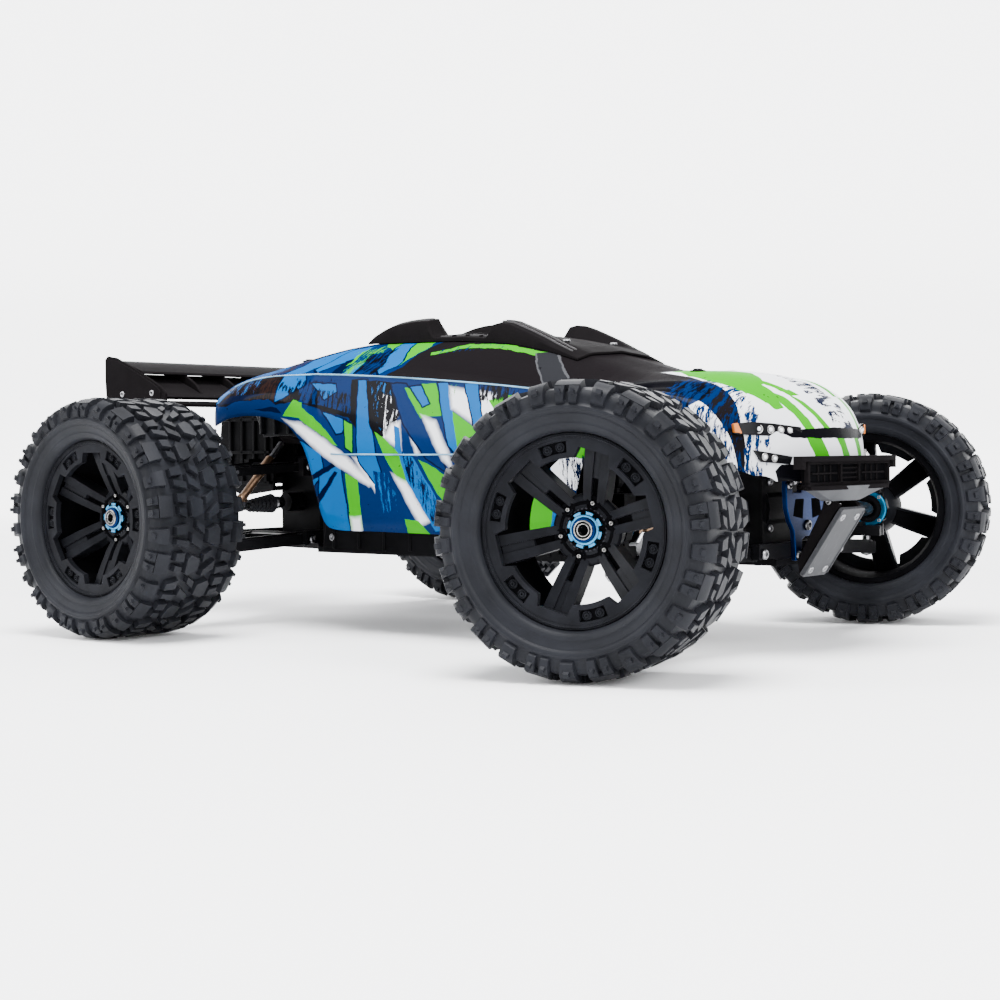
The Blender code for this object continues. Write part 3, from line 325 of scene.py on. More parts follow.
UPPER_LAYERS = (
    (BLACK, "torn", [(-190, 190), (-95, 200), (-90, 176), (-190, 165)]),
    (BROWN, "torn", [(-190, 194), (-100, 204), (-100, 180), (-190, 170)]),
    (SKY, "torn", [(-170, 190), (-120, 198), (-125, 176), (-175, 170)]),
    (SKY, "lined", [(-100, 190), (-70, 198), (-78, 186), (-94, 176), (-108, 176)]),
    (SKY, "lined", [(-70, 196), (-56, 199), (-56, 190), (-74, 180), (-80, 182)]),
    (NAVY, "edge", [(-62, 188), (-56, 190), (-50, 174), (-60, 174)]),
    (BLUE, "edge", [(-56, 200), (-36, 202), (-24, 174), (-50, 174)]),
    (SKY, "edge", [(-50, 184), (-44, 186), (-40, 174), (-48, 174)]),
    (GREEN, "edge", [(-56, 202), (-10, 212), (-8, 198), (-30, 194)]),
    (GREEN, "edge", [(-12, 208), (-2, 196), (-16, 180), (-24, 190)]),
    (GREEN, "torn", [(-60, 194), (-40, 198), (-36, 180), (-50, 178)]),
    (SKY, "lined", [(-34, 200), (-22, 200), (-13, 186), (-18, 177), (-24, 180)]),
    (BLACK, "torn", [(-46, 192), (-30, 194), (-22, 174), (-40, 174)]),
    (SMOKE, "edge", [(-6, 190), (4, 216), (200, 216), (200, 155), (60, 155), (-17, 177)]),
    (GREEN, "edge", [(4, 191.5), (30, 196.5), (30, 193.8), (6, 189.5)]),
    (GREEN, "edge", [(29, 196.5), (60, 195.2), (60, 192.2), (29, 193.8)]),
    (GREEN, "edge", [(59, 195.2), (92, 188.5), (90, 186.2), (59, 192.2)]),
    (BLUE, "scratch", [(8, 193.5), (58, 197), (58, 193), (10, 190)]),
    (PILLAR, "edge", [(86, 188.5), (98, 188.5), (134, 162), (113, 162)]),
    (EDGE, "edge", [(97.5, 188.5), (99, 188.5), (135, 162), (133, 162)]),
    (EDGE, "edge", [(85, 188.5), (86.2, 188.5), (113.8, 162), (112.4, 162)]),
)

HOOD_LAYERS = (
    (WHITE, "edge", [(150, 0), (162, -29), (199, -56), (225, -64), (300, -100), (300, 100), (225, 64),
        (199, 56), (162, 29)]),
    *both(BLUE, "torn", [(205, 64), (230, 56), (262, 64), (262, 100), (205, 100)]),
    *both(GREEN, "edge", [(147, 0), (202, 52), (223, 60), (246, 58), (246, 36), (222, 12)]),
    (GREEN, "edge", [(240, -40), (240, -60), (256, -52), (258, -40)]),
    (GREEN, "edge", [(254, -53), (254, -40), (275, -26), (274, -37)]),
    *both(BLACK, "edge", [(160, 50), (205, 62), (226, 62), (232, 78), (226, 100), (160, 100)]),
    *both(BLUE, "torn", [(208, 60), (226, 60), (232, 78), (226, 100), (206, 80)]),
    (GREEN, "edge", [(236, -42), (256, -34), (258, -26), (240, -34)]),
    (GREEN, "edge", [(255, -34), (275, -19), (276, -11), (256, -25)]),
    (GREEN, "edge", [(236, 44), (236, 58), (264, 50), (264, 42)]),
    (GREEN, "edge", [(238, 24), (238, 34), (266, 26), (266, 20)]),
    (NAVY, "torn", [(225, 0), (262, -12), (262, 10), (228, 8)]),
)

NOSE_LAYERS = (
    (GREEN, "edge", [(-43, 153), (-33, 136), (-25, 136), (-36, 155.5)]),
    (GREEN, "edge", [(-33, 159), (-24, 153), (-10.5, 136), (-16.5, 136), (-26, 149)]),
    (NAVY, "torn", [(-12, 160), (8, 160), (24, 136), (-2, 136)]),
    (GREEN, "edge", [(26, 159), (32, 159), (40, 136), (33, 136)]),
    (GREEN, "edge", [(-34, 131), (-21, 131), (-11, 113), (-24, 113)]),
    (GREEN, "edge", [(-5, 131), (4, 131), (14, 113), (5, 113)]),
    (GREEN, "edge", [(20, 131), (30, 131), (40, 113), (30, 113)]),
    *both(BLUE, "torn", [(90, 148), (60, 144), (56, 128), (66, 110), (90, 110)], (-1, 1)),
    (BLACK, "edge", [(-60, 138.5), (-44, 130.5), (44, 130.5), (60, 138.5), (20, 137.5), (-20, 137.5)]),
    (BLACK, "edge", [(-56, 111), (-52, 115), (52, 115), (56, 111), (50, 90), (-50, 90)]),
)


# ================= shapes =================
class Shape:
    """Gathers closed shapes into one mesh; each call says which of the piece's looks it takes."""

    def __init__(self):
        self.bm = bmesh.new()

    def loft(self, rings, paint=0, wrap=False):
        made = [[self.bm.verts.new(p) for p in ring] for ring in rings]
        count = len(made[0])
        faces = []
        for first, second in zip(made, made[1:] + made[:wrap]):
            for k in range(count):
                m = (k + 1) % count
                faces.append(self.bm.faces.new((first[k], first[m], second[m], second[k])))
        if not wrap:
            faces.append(self.bm.faces.new(made[0][::-1]))
            faces.append(self.bm.faces.new(made[-1]))
        for face in faces:
            face.material_index = paint

    def prism(self, outline, to_world, low, high, paint=0):
        self.loft([[to_world(u, v, w) for u, v in outline] for w in (low, high)], paint)

    def box(self, x, y, z, paint=0):
        self.prism([(x[0], y[0]), (x[1], y[0]), (x[1], y[1]), (x[0], y[1])], along_z, z[0], z[1], paint)

    def turned(self, profile, start=(0, 0, 0), direction=(0, 1, 0), segments=32, paint=0, wrap=False):
        """A profile of (distance along the axis, radius), turned round the axis."""
        axis = Vector(direction).normalized()
        side = axis.orthogonal().normalized()
        other = axis.cross(side)
        rings = [[Vector(start) + axis * a + radius * (side * c + other * s) for c, s in circle(segments)]
                 for a, radius in profile]
        self.loft(rings, paint, wrap)

    def rod(self, start, end, radius, segments=16, paint=0):
        direction = Vector(end) - Vector(start)
        self.turned([(0, radius), (direction.length, radius)], start, direction, segments, paint)

    def tube(self, path, radius, segments=8):
        """A round tube along a line of points."""
        side = (path[1] - path[0]).orthogonal().normalized()
        rings = []
        for i, p in enumerate(path):
            ahead = (path[min(i + 1, len(path) - 1)] - path[max(i - 1, 0)]).normalized()
            side = (side - ahead * side.dot(ahead)).normalized()
            other = ahead.cross(side)
            rings.append([p + radius * (side * c + other * s) for c, s in circle(segments)])
        self.loft(rings)

    def screw(self, centre, direction, radius, height=1.4, paint=0):
        """A round-headed hex-socket screw."""
        shares = ((0, 1), (0.6, 1), (1, 0.8), (1, 0.45), (0.3, 0.42), (0.3, 0.1))
        self.turned([(height * a, radius * b) for a, b in shares], centre, direction, 12, paint)


def circle(segments):
    turns = [2 * math.pi * k / segments for k in range(segments)]
    return [(math.cos(t), math.sin(t)) for t in turns]


def along_x(u, v, w):
    return Vector((w, u, v))


def along_y(u, v, w):
    return Vector((u, w, v))


def along_z(u, v, w):
    return Vector((u, v, w))


def through(p, q, r, s, t):
    """A smooth line through four points, at share t between the middle two."""
    bend = 2 * p - 5 * q + 4 * r - s
    twist = 3 * q - p - 3 * r + s
    return 0.5 * (2 * q + (r - p) * t + bend * t ** 2 + twist * t ** 3)


def smooth_rows(rows, steps):
    """Rows of points with smooth rows added, so that each gap has this many steps."""
    made = []
    for i in range(len(rows) - 1):
        around = [rows[max(0, min(len(rows) - 1, i + k))] for k in (-1, 0, 1, 2)]
        for n in range(steps):
            made.append([through(*points, n / steps) for points in zip(*around)])
    made.append(rows[-1])
    return made


def smooth_path(points, steps=8):
    return [row[0] for row in smooth_rows([[Vector(p)] for p in points], steps)]


def add_object(name, data, place):
    obj = bpy.data.objects.new(name, data)
    bpy.context.scene.collection.objects.link(obj)
    obj.matrix_world = place
    return obj


def mesh_object(name, shape, looks, place=LAYOUT, smooth=30):
    """An object in metres from a shape in millimetres."""
    mesh = bpy.data.meshes.new(name)
    shape.bm.to_mesh(mesh)
    shape.bm.free()
    mesh.transform(Matrix.Scale(MM, 4))
    for look in looks:
        mesh.materials.append(MATERIALS[look])
    mesh.shade_smooth()
    mesh.set_sharp_from_angle(angle=math.radians(smooth))
    return add_object(name, mesh, place)


def solid(name, shape, looks, smooth=30, bevel=0.0, place=LAYOUT):
    """An object from closed shapes, with softly rounded edges where bevel is given."""
    bmesh.ops.recalc_face_normals(shape.bm, faces=shape.bm.faces)
    obj = mesh_object(name, shape, looks, place, smooth)
    if bevel:
        soften(obj, bevel)
    return obj


def piece(name, shape, looks, body, node=None, smooth=30, bevel=0.0):
    """An object that rides a body; node is the CAD node that it replaces."""
    made = solid(name, shape, looks, smooth, bevel)
    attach(made, body)
    if node:
        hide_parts(node)


def soften(obj, width):
    edge = obj.modifiers.new("soft edges", "BEVEL")
    edge.width = width * MM
    edge.segments = 2
    edge.limit_method = "ANGLE"
    edge.angle_limit = math.radians(32)


def carve(obj, cutter_shape):
    """Cut a shape out of an object that has no modifiers."""
    cutter = solid("cutter", cutter_shape, (), place=obj.matrix_world)
    cutter.data.shade_flat()
    step = obj.modifiers.new("carve", "BOOLEAN")
    step.operation = "DIFFERENCE"
    step.solver = "EXACT"
    step.object = cutter
    bpy.context.view_layer.update()
    carved = bpy.data.meshes.new_from_object(obj.evaluated_get(bpy.context.evaluated_depsgraph_get()))
    obj.modifiers.clear()
    obj.data = carved
    bpy.data.objects.remove(cutter)
    carved.set_sharp_from_angle(angle=math.radians(35))


# ================= wheels =================
def spin_point(angle, a, r):
    """A wheel point: angle runs counter-clockwise seen from outside, a is outward along the axle."""
    return Vector((-r * math.cos(angle), a, r * math.sin(angle)))


def spoke_axes(angle):
    """Directions outward from the hub, and across the spoke."""
    return spin_point(angle, 0, 1), spin_point(angle + math.pi / 2, 0, 1)


def spoke_angles(share=0.0):
    return [2 * math.pi * (k + share) / SPOKES for k in range(SPOKES)]


# half of the tyre's outline, from its bead out to its middle: (a, r)
CARCASS = (
    (27.2, 49.7), (27.7, 52.8), (30, 53), (32, 53.4), (33.4, 54.4), (34.5, 56), (35.1, 57.5), (35, 58.2),
    (35.2, 59.2), (36.1, 61.2), (36.6, 62.6), (37.9, 63.5), (38.5, 64.6), (38.7, 65.6), (38.3, 66.8),
    (37.2, 67.8), (36.7, 69), (36.4, 71.2), (35.6, 73.5), (34, 75.5), (31, 76.6), (20, 77.2), (10, 77.3),
    (0, 77.3),
)

# along the tyre from its middle: distance, then where the base and the top of a lug lie (a, r)
ROAD = (
    (0, 0, 76.8, 0, 81.5),
    (23, 23, 76.6, 23.2, 81.5),
    (30, 29.6, 76, 31.2, 80.4),
    (35, 33.2, 74.5, 36.2, 77.9),
    (40, 35, 72, 38.5, 74.8),
    (44, 35.6, 69, 39, 71.6),
    (47.5, 36, 66.5, 38.6, 68.4),
)

# tread blocks: rows of (distance from the middle, first edge, second edge) in pitches, then a height share
SHOULDER = (
    ([(26.2, 0.06, 0.43), (35.5, 0.04, 0.45)], 1.0),
    ([(35, 0.04, 0.225), (47.5, 0.055, 0.215)], 1.0),
    ([(35, 0.265, 0.45), (47.5, 0.275, 0.435)], 1.0),
    ([(39.5, 0.09, 0.18), (43, 0.09, 0.18)], 1.45),
    ([(39.5, 0.31, 0.40), (43, 0.31, 0.40)], 1.45),
    ([(28.5, 0.58, 0.88), (46.5, 0.61, 0.85)], 1.0),
    ([(37.5, 0.67, 0.79), (42, 0.67, 0.79)], 1.40),
)
CENTRE = (
    ([(1.5, 0.10, 0.34), (10, 0.02, 0.42), (13, 0.06, 0.34)], 1.0),
    ([(15, 0.02, 0.20), (22.5, 0.10, 0.24)], 0.9),
    ([(15, 0.27, 0.46), (23.5, 0.30, 0.46)], 1.0),
    ([(2, 0.48, 0.62), (12, 0.60, 0.80)], 0.95),
    ([(13, 0.50, 0.66), (24.5, 0.58, 0.70)], 1.0),
    ([(15, 0.76, 0.96), (25, 0.74, 0.90)], 1.0),
    ([(0.5, 0.74, 0.90), (8, 0.86, 1.00)], 0.9),
)


def road_at(s):
    """Where the base and the top of a lug lie, at a distance s from the tyre's middle."""
    for row, after in zip(ROAD, ROAD[1:]):
        if s <= after[0]:
            share = (s - row[0]) / (after[0] - row[0])
            return [p + (q - p) * share for p, q in zip(row[1:], after[1:])]
    return ROAD[-1][1:]


def lug(shape, rows, start, half, height):
    """A raised tread block, on the outer half of the tyre where half is 1 and on the inner where it is -1."""
    longest_step, draft, draft_radius = 4.2, 0.6, 80
    pitch = 2 * math.pi / PITCHES
    edge = draft / (draft_radius * pitch)
    filled = [rows[0]]
    for before, after in zip(rows, rows[1:]):
        steps = max(1, int((after[0] - before[0]) / longest_step))
        for k in range(1, steps + 1):
            filled.append([p + (q - p) * k / steps for p, q in zip(before, after)])
    drafts = [draft] + [0] * (len(filled) - 2) + [-draft]
    rings = []
    for (s, low, high), inset in zip(filled, drafts):
        base = road_at(s)[:2]
        under_a, under_r, top_a, top_r = road_at(s + inset)
        top = (under_a + (top_a - under_a) * height, under_r + (top_r - under_r) * height)
        angles = (low, low + edge, high - edge, high)
        rings.append([spin_point(pitch * (start + u), half * a, r)
                      for u, (a, r) in zip(angles, (base, top, top, base))])
    shape.loft(rings)


def make_tyre():
    """Carcass with tread blocks; the inner half's pattern is half a pitch round from the outer half's."""
    shape = Shape()
    inner = [(26.8, 50), (0, 51), (-26.8, 50)]
    shape.turned([(-a, r) for a, r in CARCASS[:-1]] + list(CARCASS[::-1]) + inner, segments=156, wrap=True)
    for half, shift in ((1, 0.0), (-1, 0.5)):
        for number in range(PITCHES):
            for rows, height in SHOULDER + CENTRE:
                lug(shape, rows, number + shift, half, height)
    return solid("tyre_moulding", shape, ["rubber"], smooth=28)


def ring_ribbon(shape, angles, radii, places, steps=8, paint=0):
    """A curved block of the wheel between two angles, two radii and two places along the axle."""
    corners = [(places[0], radii[0]), (places[1], radii[0]), (places[1], radii[1]), (places[0], radii[1])]
    turns = [angles[0] + (angles[1] - angles[0]) * k / steps for k in range(steps + 1)]
    shape.loft([[spin_point(turn, a, r) for a, r in corners] for turn in turns], paint)


def spoke_bar(shape, angle, offset, half, stations, paint=0):
    """A straight bar outward from the hub; stations are (radius, low a, high a, widening)."""
    radial, wide = spoke_axes(angle)
    rings = []
    for r, low, high, spread in stations:
        rings.append([radial * r + wide * (offset + b) * spread + Vector((0, a, 0))
                      for a, b in ((low, -half), (low, half), (high, half), (high, -half))])
    shape.loft(rings, paint)


def make_rim():
    """Barrel and lip, the hub, and six spokes, each of two bars with a web and a rib between them."""
    shape = Shape()
    # the barrel (paint 1) and the webs between the spoke bars take the recess look: painted shade inside the
    # wheel and between the bars
    barrel = [(-28, 48.9), (-28.6, LIP_R), (-30.8, LIP_R), (-30.6, 48.8), (-24, 47), (0, 46.8), (25.5, 47.8),
              (26.2, 48.9)]
    shape.turned(barrel, segments=96, paint=1, wrap=True)
    lip = [(25.5, 47.8), (27, 50), (RIM_FACE - 0.6, 50.2), (RIM_FACE - 0.6, 50.8), (RIM_FACE, 50.9),
           (RIM_FACE, 51.4), (RIM_FACE - 0.5, 51.5), (RIM_FACE - 0.5, 51.8), (RIM_FACE, 51.9),
           (RIM_FACE, LIP_R - 0.3), (RIM_FACE - 0.4, LIP_R), (28.6, LIP_R), (28, 49), (25.8, 49)]
    shape.turned(lip, segments=96, wrap=True)
    hub = [(-18, 5.2), (-18, 12.5), (-10, 16.5), (6, 20), (7.5, 19), (8.2, 17.5)]
    shape.turned(hub, segments=48)
    side_bar = [(15, -4, 7.8, 0.9), (22, -1, 11.8, 1), (33, 5, 17, 1.1), (46, 12, 22.2, 1.2)]
    web = [(15, -6, 5.2, 0.9), (22, -3, 7.4, 1), (33, 3, 12.8, 1.1), (47.5, 11, 19, 1.2)]
    middle_rib = [(29, 8, 14, 1), (35, 10, 16.6, 1), (45.5, 14, 20.8, 1.1)]
    for angle in spoke_angles():
        for offset in (-4.3, 4.3):
            spoke_bar(shape, angle, offset, 2.5, side_bar)
        spoke_bar(shape, angle, 0, 5, web, 1)
        spoke_bar(shape, angle, 0, 2.2, middle_rib)
    return solid("rim_moulding", shape, ["wheel_nylon", "recess_shade"], bevel=0.5)


def make_ring():
    """The flat ring behind the lip, cut out over each spoke and pocketed for each pair of bolts."""
    ring = Shape()
    ring.turned([(25, RING_IN), (25, RING_OUT), (RING_FACE, RING_OUT), (RING_FACE, RING_IN)], segments=120,
                wrap=True)
    plate = solid("rim_ring", ring, ["wheel_nylon", "recess_shade"])
    cutter = Shape()
    notch = [(30, -11.8), (44.2, -8.8), (44.2, 8.8), (30, 11.8)]
    pocket = math.radians(9.8)
    for angle, middle in zip(spoke_angles(), spoke_angles(0.5)):
        radial, wide = spoke_axes(angle)
        cutter.loft([[radial * u + wide * v + Vector((0, a, 0)) for u, v in notch] for a in (20, 40)])
        ring_ribbon(cutter, (middle - pocket, middle + pocket), (42, 48.4), (RING_FACE - 2.2, RING_FACE + 4))
    carve(plate, cutter)
    soften(plate, 0.5)
    return plate


def make_bolts():
    """A near-black plate in each pocket of the ring, painted shade for the pocket's depth, with two bolts."""
    shape = Shape()
    half = math.radians(9.2)
    depths = (RING_FACE - 2.6, RING_FACE - 1.9)
    for middle in spoke_angles(0.5):
        ring_ribbon(shape, (middle - half, middle + half), (42.3, 48.1), depths, paint=1)
        for turn in (-0.083, 0.083):
            centre = spin_point(middle + turn, RING_FACE - 2, 45.2)
            shape.turned([(0, 2.6), (1, 2.6), (1.2, 2.2), (0.6, 1.9), (0.6, 1.2)], centre, segments=16)
            shape.screw(centre + Vector((0, 0.2, 0)), (0, 1, 0), 1.4, 1.2)
    return solid("rim_bolts", shape, ["wheel_nylon", "recess_shade"])


def make_nut():
    """Toothed wheel nut on its serrated plate, with the hub's recess and six small screws around it."""
    # dark takes the near-black recess look: the hub's own black, with painted shade in its recess
    light, deep, silver, dark, grey = range(5)
    shape = Shape()
    shape.turned([(HUB_FACE, 15.8), (8.6, 15.6), (8.6, 14), (HUB_FACE, 13.6)], segments=40, paint=dark)
    for angle in spoke_angles():
        centre = spin_point(angle, HUB_FACE, 15)
        shape.turned([(0, 4.2), (0.6, 4.2), (0.9, 3.7), (0.4, 3)], centre, segments=20, paint=dark)
        shape.screw(centre + Vector((0, 0.3, 0)), (0, 1, 0), 1.3, 1.6, silver)
    serrations, teeth = 30, 8
    for k in range(serrations):
        angle = 2 * math.pi * k / serrations
        ring_ribbon(shape, (angle, angle + 0.11), (10, 12), (HUB_FACE, 8.5), 2, grey)
    for k in range(teeth):
        angle = 2 * math.pi * k / teeth
        ring_ribbon(shape, (angle, angle + math.pi * 1.15 / teeth), (7, 10.1), (8.4, 11.2), 4, light)
    rings = (
        (dark, [(HUB_FACE, 11.4), (8.6, 11.2), (8.6, 6), (HUB_FACE, 6)]),
        (light, [(8.4, 8.6), (11.2, 8.6), (11.8, 8), (11.8, 6.6), (8.4, 6.6)]),
        (deep, [(9, 7.2), (12.6, 7), (13.2, 6.5), (13.2, 5), (9, 5)]),
        (silver, [(10, 5.6), (13.6, 5.5), (14, 5.2), (14, 4.7), (12, 4.4), (10, 4.4)]),
        (dark, [(9.6, 4.4), (11.8, 4.4), (11.8, 3.6), (9.6, 3.6)]),
        (silver, [(9.6, 3.7), (13.6, 3.7), (13.9, 3.4), (13.6, 3), (9.6, 2.9)]))
    for paint, profile in rings:
        shape.turned(profile, segments=40, paint=paint, wrap=True)
    shape.turned([(8, 3), (10, 2.9)], segments=24, paint=dark)
    looks = ["light_blue", "blue_anodised", "silver", "recess_shade", "motor_metal"]
    return solid("wheel_nut", shape, looks, bevel=0.2)


def wheel_place(corner):
    joint = next(j for j in frame["joints"] if j["name"] == corner + "_wheel_spin")
    turn = STEER[corner] + (math.pi if corner.endswith("right") else 0.0)
    return Matrix.Translation(joint["pos_m"]) @ Matrix.Rotation(turn, 4, "Z")


def make_wheels():
    kinds = ((make_tyre(), "tyre_tread", "_tyre", "tyre"),
             (make_rim(), "wheel_rim", "_rim", "wheel_nylon"),
             (make_ring(), "wheel_ring", None, "wheel_nylon"),
             (make_bolts(), "wheel_bolts", None, "wheel_nylon"),
             (make_nut(), "wheel_nut", None, "blue_anodised"))
    for corner, spokes in SPOKE_TURN.items():
        spin = Matrix.Rotation(math.radians(spokes), 4, "Y")
        for source, word, node_ending, slot in kinds:
            made = source.copy()
            made.name = f"{corner}_{word}"
            bpy.context.scene.collection.objects.link(made)
            made.matrix_world = wheel_place(corner) @ (Matrix() if word == "tyre_tread" else spin)
            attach(made, corner + "_wheel")
            if node_ending:
                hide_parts(corner + node_ending)
    for source, *_ in kinds:
        bpy.data.objects.remove(source)


# ================= shell =================
# Rear to front: x, sweep of the shoulder along X, centre z, then (y, z) of the roof edge, window foot,
# shoulder, feature line and bottom edge.
SECTIONS = (
    (-188, 22, 183.5, (50, 180), (84, 172.5), (104, 164), (110, 154), (110, 144)),
    (-172, 20, 186.8, (51, 183.2), (84, 176.2), (104, 170.5), (112, 159), (112, 148.5)),
    (-152, 15, 189.5, (52, 185.8), (83, 179.5), (103, 175), (112, 162), (112, 150.5)),
    (-130, 8, 194, (53, 190), (82, 182.5), (101, 177.5), (111, 164), (111, 150.5)),
    (-108, 0, 197.8, (53, 194), (81, 185), (99, 178.5), (110, 164), (110, 149)),
    (-94, 0, 200.2, (53, 196.7), (80, 186.5), (98, 178.5), (109, 162), (109, 145)),
    (-85, 0, 201.5, (53, 198), (80, 187.3), (98, 178.5), (108, 158), (108, 138)),
    (-77.5, 0, 202.4, (53, 198.8), (80, 187.7), (98, 178.5), (107, 153), (107, 128)),
    (-72, 0, 203, (53, 199.3), (80, 187.8), (98, 178.5), (107, 145), (106, 113)),
    (-68, 0, 203.4, (53, 199.6), (80, 187.6), (98, 178.2), (106, 137), (105, 97)),
    (-62, 0, 203.7, (53, 199.8), (80, 187.3), (98, 178), (106, 128), (103, 77)),
    (-52, 0, 204, (53, 199.5), (80, 186.5), (97, 177.5), (106, 123.5), (100, 71.5)),
    (-20, 0, 203.5, (53, 199), (80, 183), (97, 175.5), (106, 123), (99, 71)),
    (20, 0, 202.5, (53, 198), (79, 178.5), (96, 172.5), (106, 122.5), (99, 70.5)),
    (60, 0, 200, (53, 194.5), (79, 173.5), (95, 169), (105, 122.5), (99, 70)),
    (90, 0, 195.5, (53, 188.5), (78, 169), (94, 166), (104, 122.5), (98, 70)),
    (112, 0, 189.5, (55, 181.5), (77, 165.5), (93, 163.5), (104, 123), (99, 70)),
    (130, 0, 184, (63, 173), (76, 162.8), (91, 162), (103, 124), (99, 70.5)),
    (142, 0, 180.5, (67, 168), (77, 162), (90, 161.5), (102, 126), (98, 72)),
    (147, 0, 179.3, (68, 166.5), (77, 161.5), (90, 161), (102, 130), (99, 88)),
    (152, 0, 178, (69, 165.8), (77, 161.2), (90, 160.7), (101, 136), (99, 106)),
    (157, 0, 177, (69, 165.2), (77, 161), (90, 160.4), (100, 142), (99, 122)),
    (163, 0, 176, (69, 165), (78, 161), (90, 160.2), (99, 148), (99, 134)),
    (172, 0, 175.5, (68, 165), (78, 161.2), (90, 160), (98, 153), (98, 144)),
    (190, 0, 174.8, (64, 166.5), (78, 162), (90, 160), (96, 155.5), (96, 151)),
    (210, -2, 173.8, (61, 166.5), (78, 162), (89, 159), (94, 154), (94, 149)),
    (228, -6, 171.5, (60, 164.5), (77, 160), (87, 156), (92, 150), (92, 144)),
    (243, -11, 168, (60, 161), (76, 156), (85, 152), (90, 144.5), (90, 137)),
    (255, -16, 163, (59, 156), (75, 151), (84, 146), (87, 138), (87, 130)),
    (265, -21, 156, (58, 149), (73, 144), (82, 139), (84, 131), (84, 123)),
    (272, -25, 148, (57, 141), (72, 137), (80, 133), (82, 125), (82, 118)),
    (276.5, -27, 138, (56, 133), (70, 129), (79, 126), (81, 120), (81, 115)),
    (279, -28, 123, (55, 120), (69, 119), (78, 118), (79, 116), (79, 113)),
    (279.2, -28, 104, (55, 105), (68, 108.5), (76, 111.5), (77, 113), (77, 111)),
)

# for each strip between these lines, from the centre outward: how many steps, and how far it bulges
STRIPS = ((3, 0), (3, 0.3), (4, 1.4), (3, 0.3), (5, 1.2), (5, 0.4))
SHOULDER_LINE, FEATURE_LINE = 4, 5
ALONG_STEPS = 4
SHELL_THICK = 1.4
HOOD_X = 168
NOSE_X = 262


def section_line(row):
    """Points from the centre line out to the bottom edge, on the left side, with the strip each starts."""
    x, sweep, centre_z, roof, window, shoulder, feature, bottom = row
    mid_roof = (roof[0] * 0.6, centre_z - 0.28 * (centre_z - roof[1]))
    marks = [(0.0, centre_z), mid_roof, roof, window, shoulder, feature, bottom]
    line = []
    for strip, ((y0, z0), (y1, z1)) in enumerate(zip(marks, marks[1:])):
        steps, bulge = STRIPS[strip]
        length = math.hypot(y1 - y0, z1 - z0)
        for k in range(steps):
            t = k / steps
            rise = bulge * 4 * t * (1 - t) / length
            line.append((y0 + (y1 - y0) * t - (z1 - z0) * rise, z0 + (z1 - z0) * t + (y1 - y0) * rise, strip))
    line.append((*bottom, len(STRIPS)))
    points = [Vector((x + sweep * (y / shoulder[0]) ** 2, y, z)) for y, z, strip in line]
    return points, [strip for y, z, strip in line]


def shell_paint(x, strip):
    """Which of the shell's looks a face takes: side, cab, hood or nose."""
    if x > NOSE_X:
        return 3
    if strip >= SHOULDER_LINE:
        return 0
    return 2 if x > HOOD_X else 1


def make_shell():
    """The painted shell from its sections, and the raised creases along its sides, as thin tubes in a lighter
    glossy blue that paints the highlight line along each crease.
    """
    lines = [section_line(row) for row in SECTIONS]
    strips = lines[0][1]
    rows = smooth_rows([line for line, marks in lines], ALONG_STEPS)
    shape = Shape()
    bm = shape.bm
    for side in (1, -1):
        grid = [[bm.verts.new((p.x, p.y * side, p.z)) for p in row] for row in rows]
        for first, second in zip(grid, grid[1:]):
            for k in range(len(first) - 1):
                face = bm.faces.new((first[k], first[k + 1], second[k + 1], second[k])[::-side])
                face.material_index = shell_paint((first[k].co.x + second[k].co.x) / 2, strips[k])
    bmesh.ops.remove_doubles(bm, verts=bm.verts, dist=0.02)
    looks = ["livery_side", "livery_cab", "livery_hood", "livery_nose", "shell_inside"]
    obj = mesh_object("shell_body", shape, looks, smooth=24)
    inside = obj.modifiers.new("thickness", "SOLIDIFY")
    inside.thickness = SHELL_THICK * MM
    inside.offset = -1.0
    inside.material_offset = 4
    inside.material_offset_rim = 4
    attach(obj, "shell")
    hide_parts("body_shell")

    # crease tubes: real ridges, coloured lighter than the paint around them as a painted highlight line
    creases = Shape()
    for line, low_x, high_x in ((SHOULDER_LINE, -150, 118), (FEATURE_LINE, -54, 128)):
        column = strips.index(line)
        run = [row[column] for row in rows if low_x < row[column].x < high_x]
        for side in (1, -1):
            creases.tube([Vector((p.x, p.y * side, p.z)) for p in run], 0.6)
    piece("shell_creases", creases, ["crease_highlight"], "shell", smooth=60)


def section_height(row, y):
    """Height of one section's line at y."""
    line = section_line(row)[0]
    for p, q in zip(line, line[1:]):
        if p.y <= abs(y) <= q.y and q.y > p.y:
            return p.z + (q.z - p.z) * (abs(y) - p.y) / (q.y - p.y)
    return row[2]


def shell_height(x, y):
    """Height of the shell's outside over (x, y), by the sections on either side of x."""
    before, after = next((p, q) for p, q in zip(SECTIONS, SECTIONS[1:]) if p[0] <= x <= q[0])
    low, high = section_height(before, y), section_height(after, y)
    return low + (high - low) * (x - before[0]) / (after[0] - before[0])


# along the roof skid: x, and the rails' height over the roof
RAILS = (
    (-68, 2.2), (-62, 6.2), (-53, 10.5), (-43, 13.2), (-33, 14.8), (-22, 15.5), (-12.5, 15.5), (-8.5, 6),
    (-6, 3.5), (20, 3.8), (39, 3.8), (41, 6), (45, 13), (51, 14.5), (60, 13.8), (72, 11.2), (85, 8),
    (96, 5.2), (106, 3.5), (116, 2.2),
)


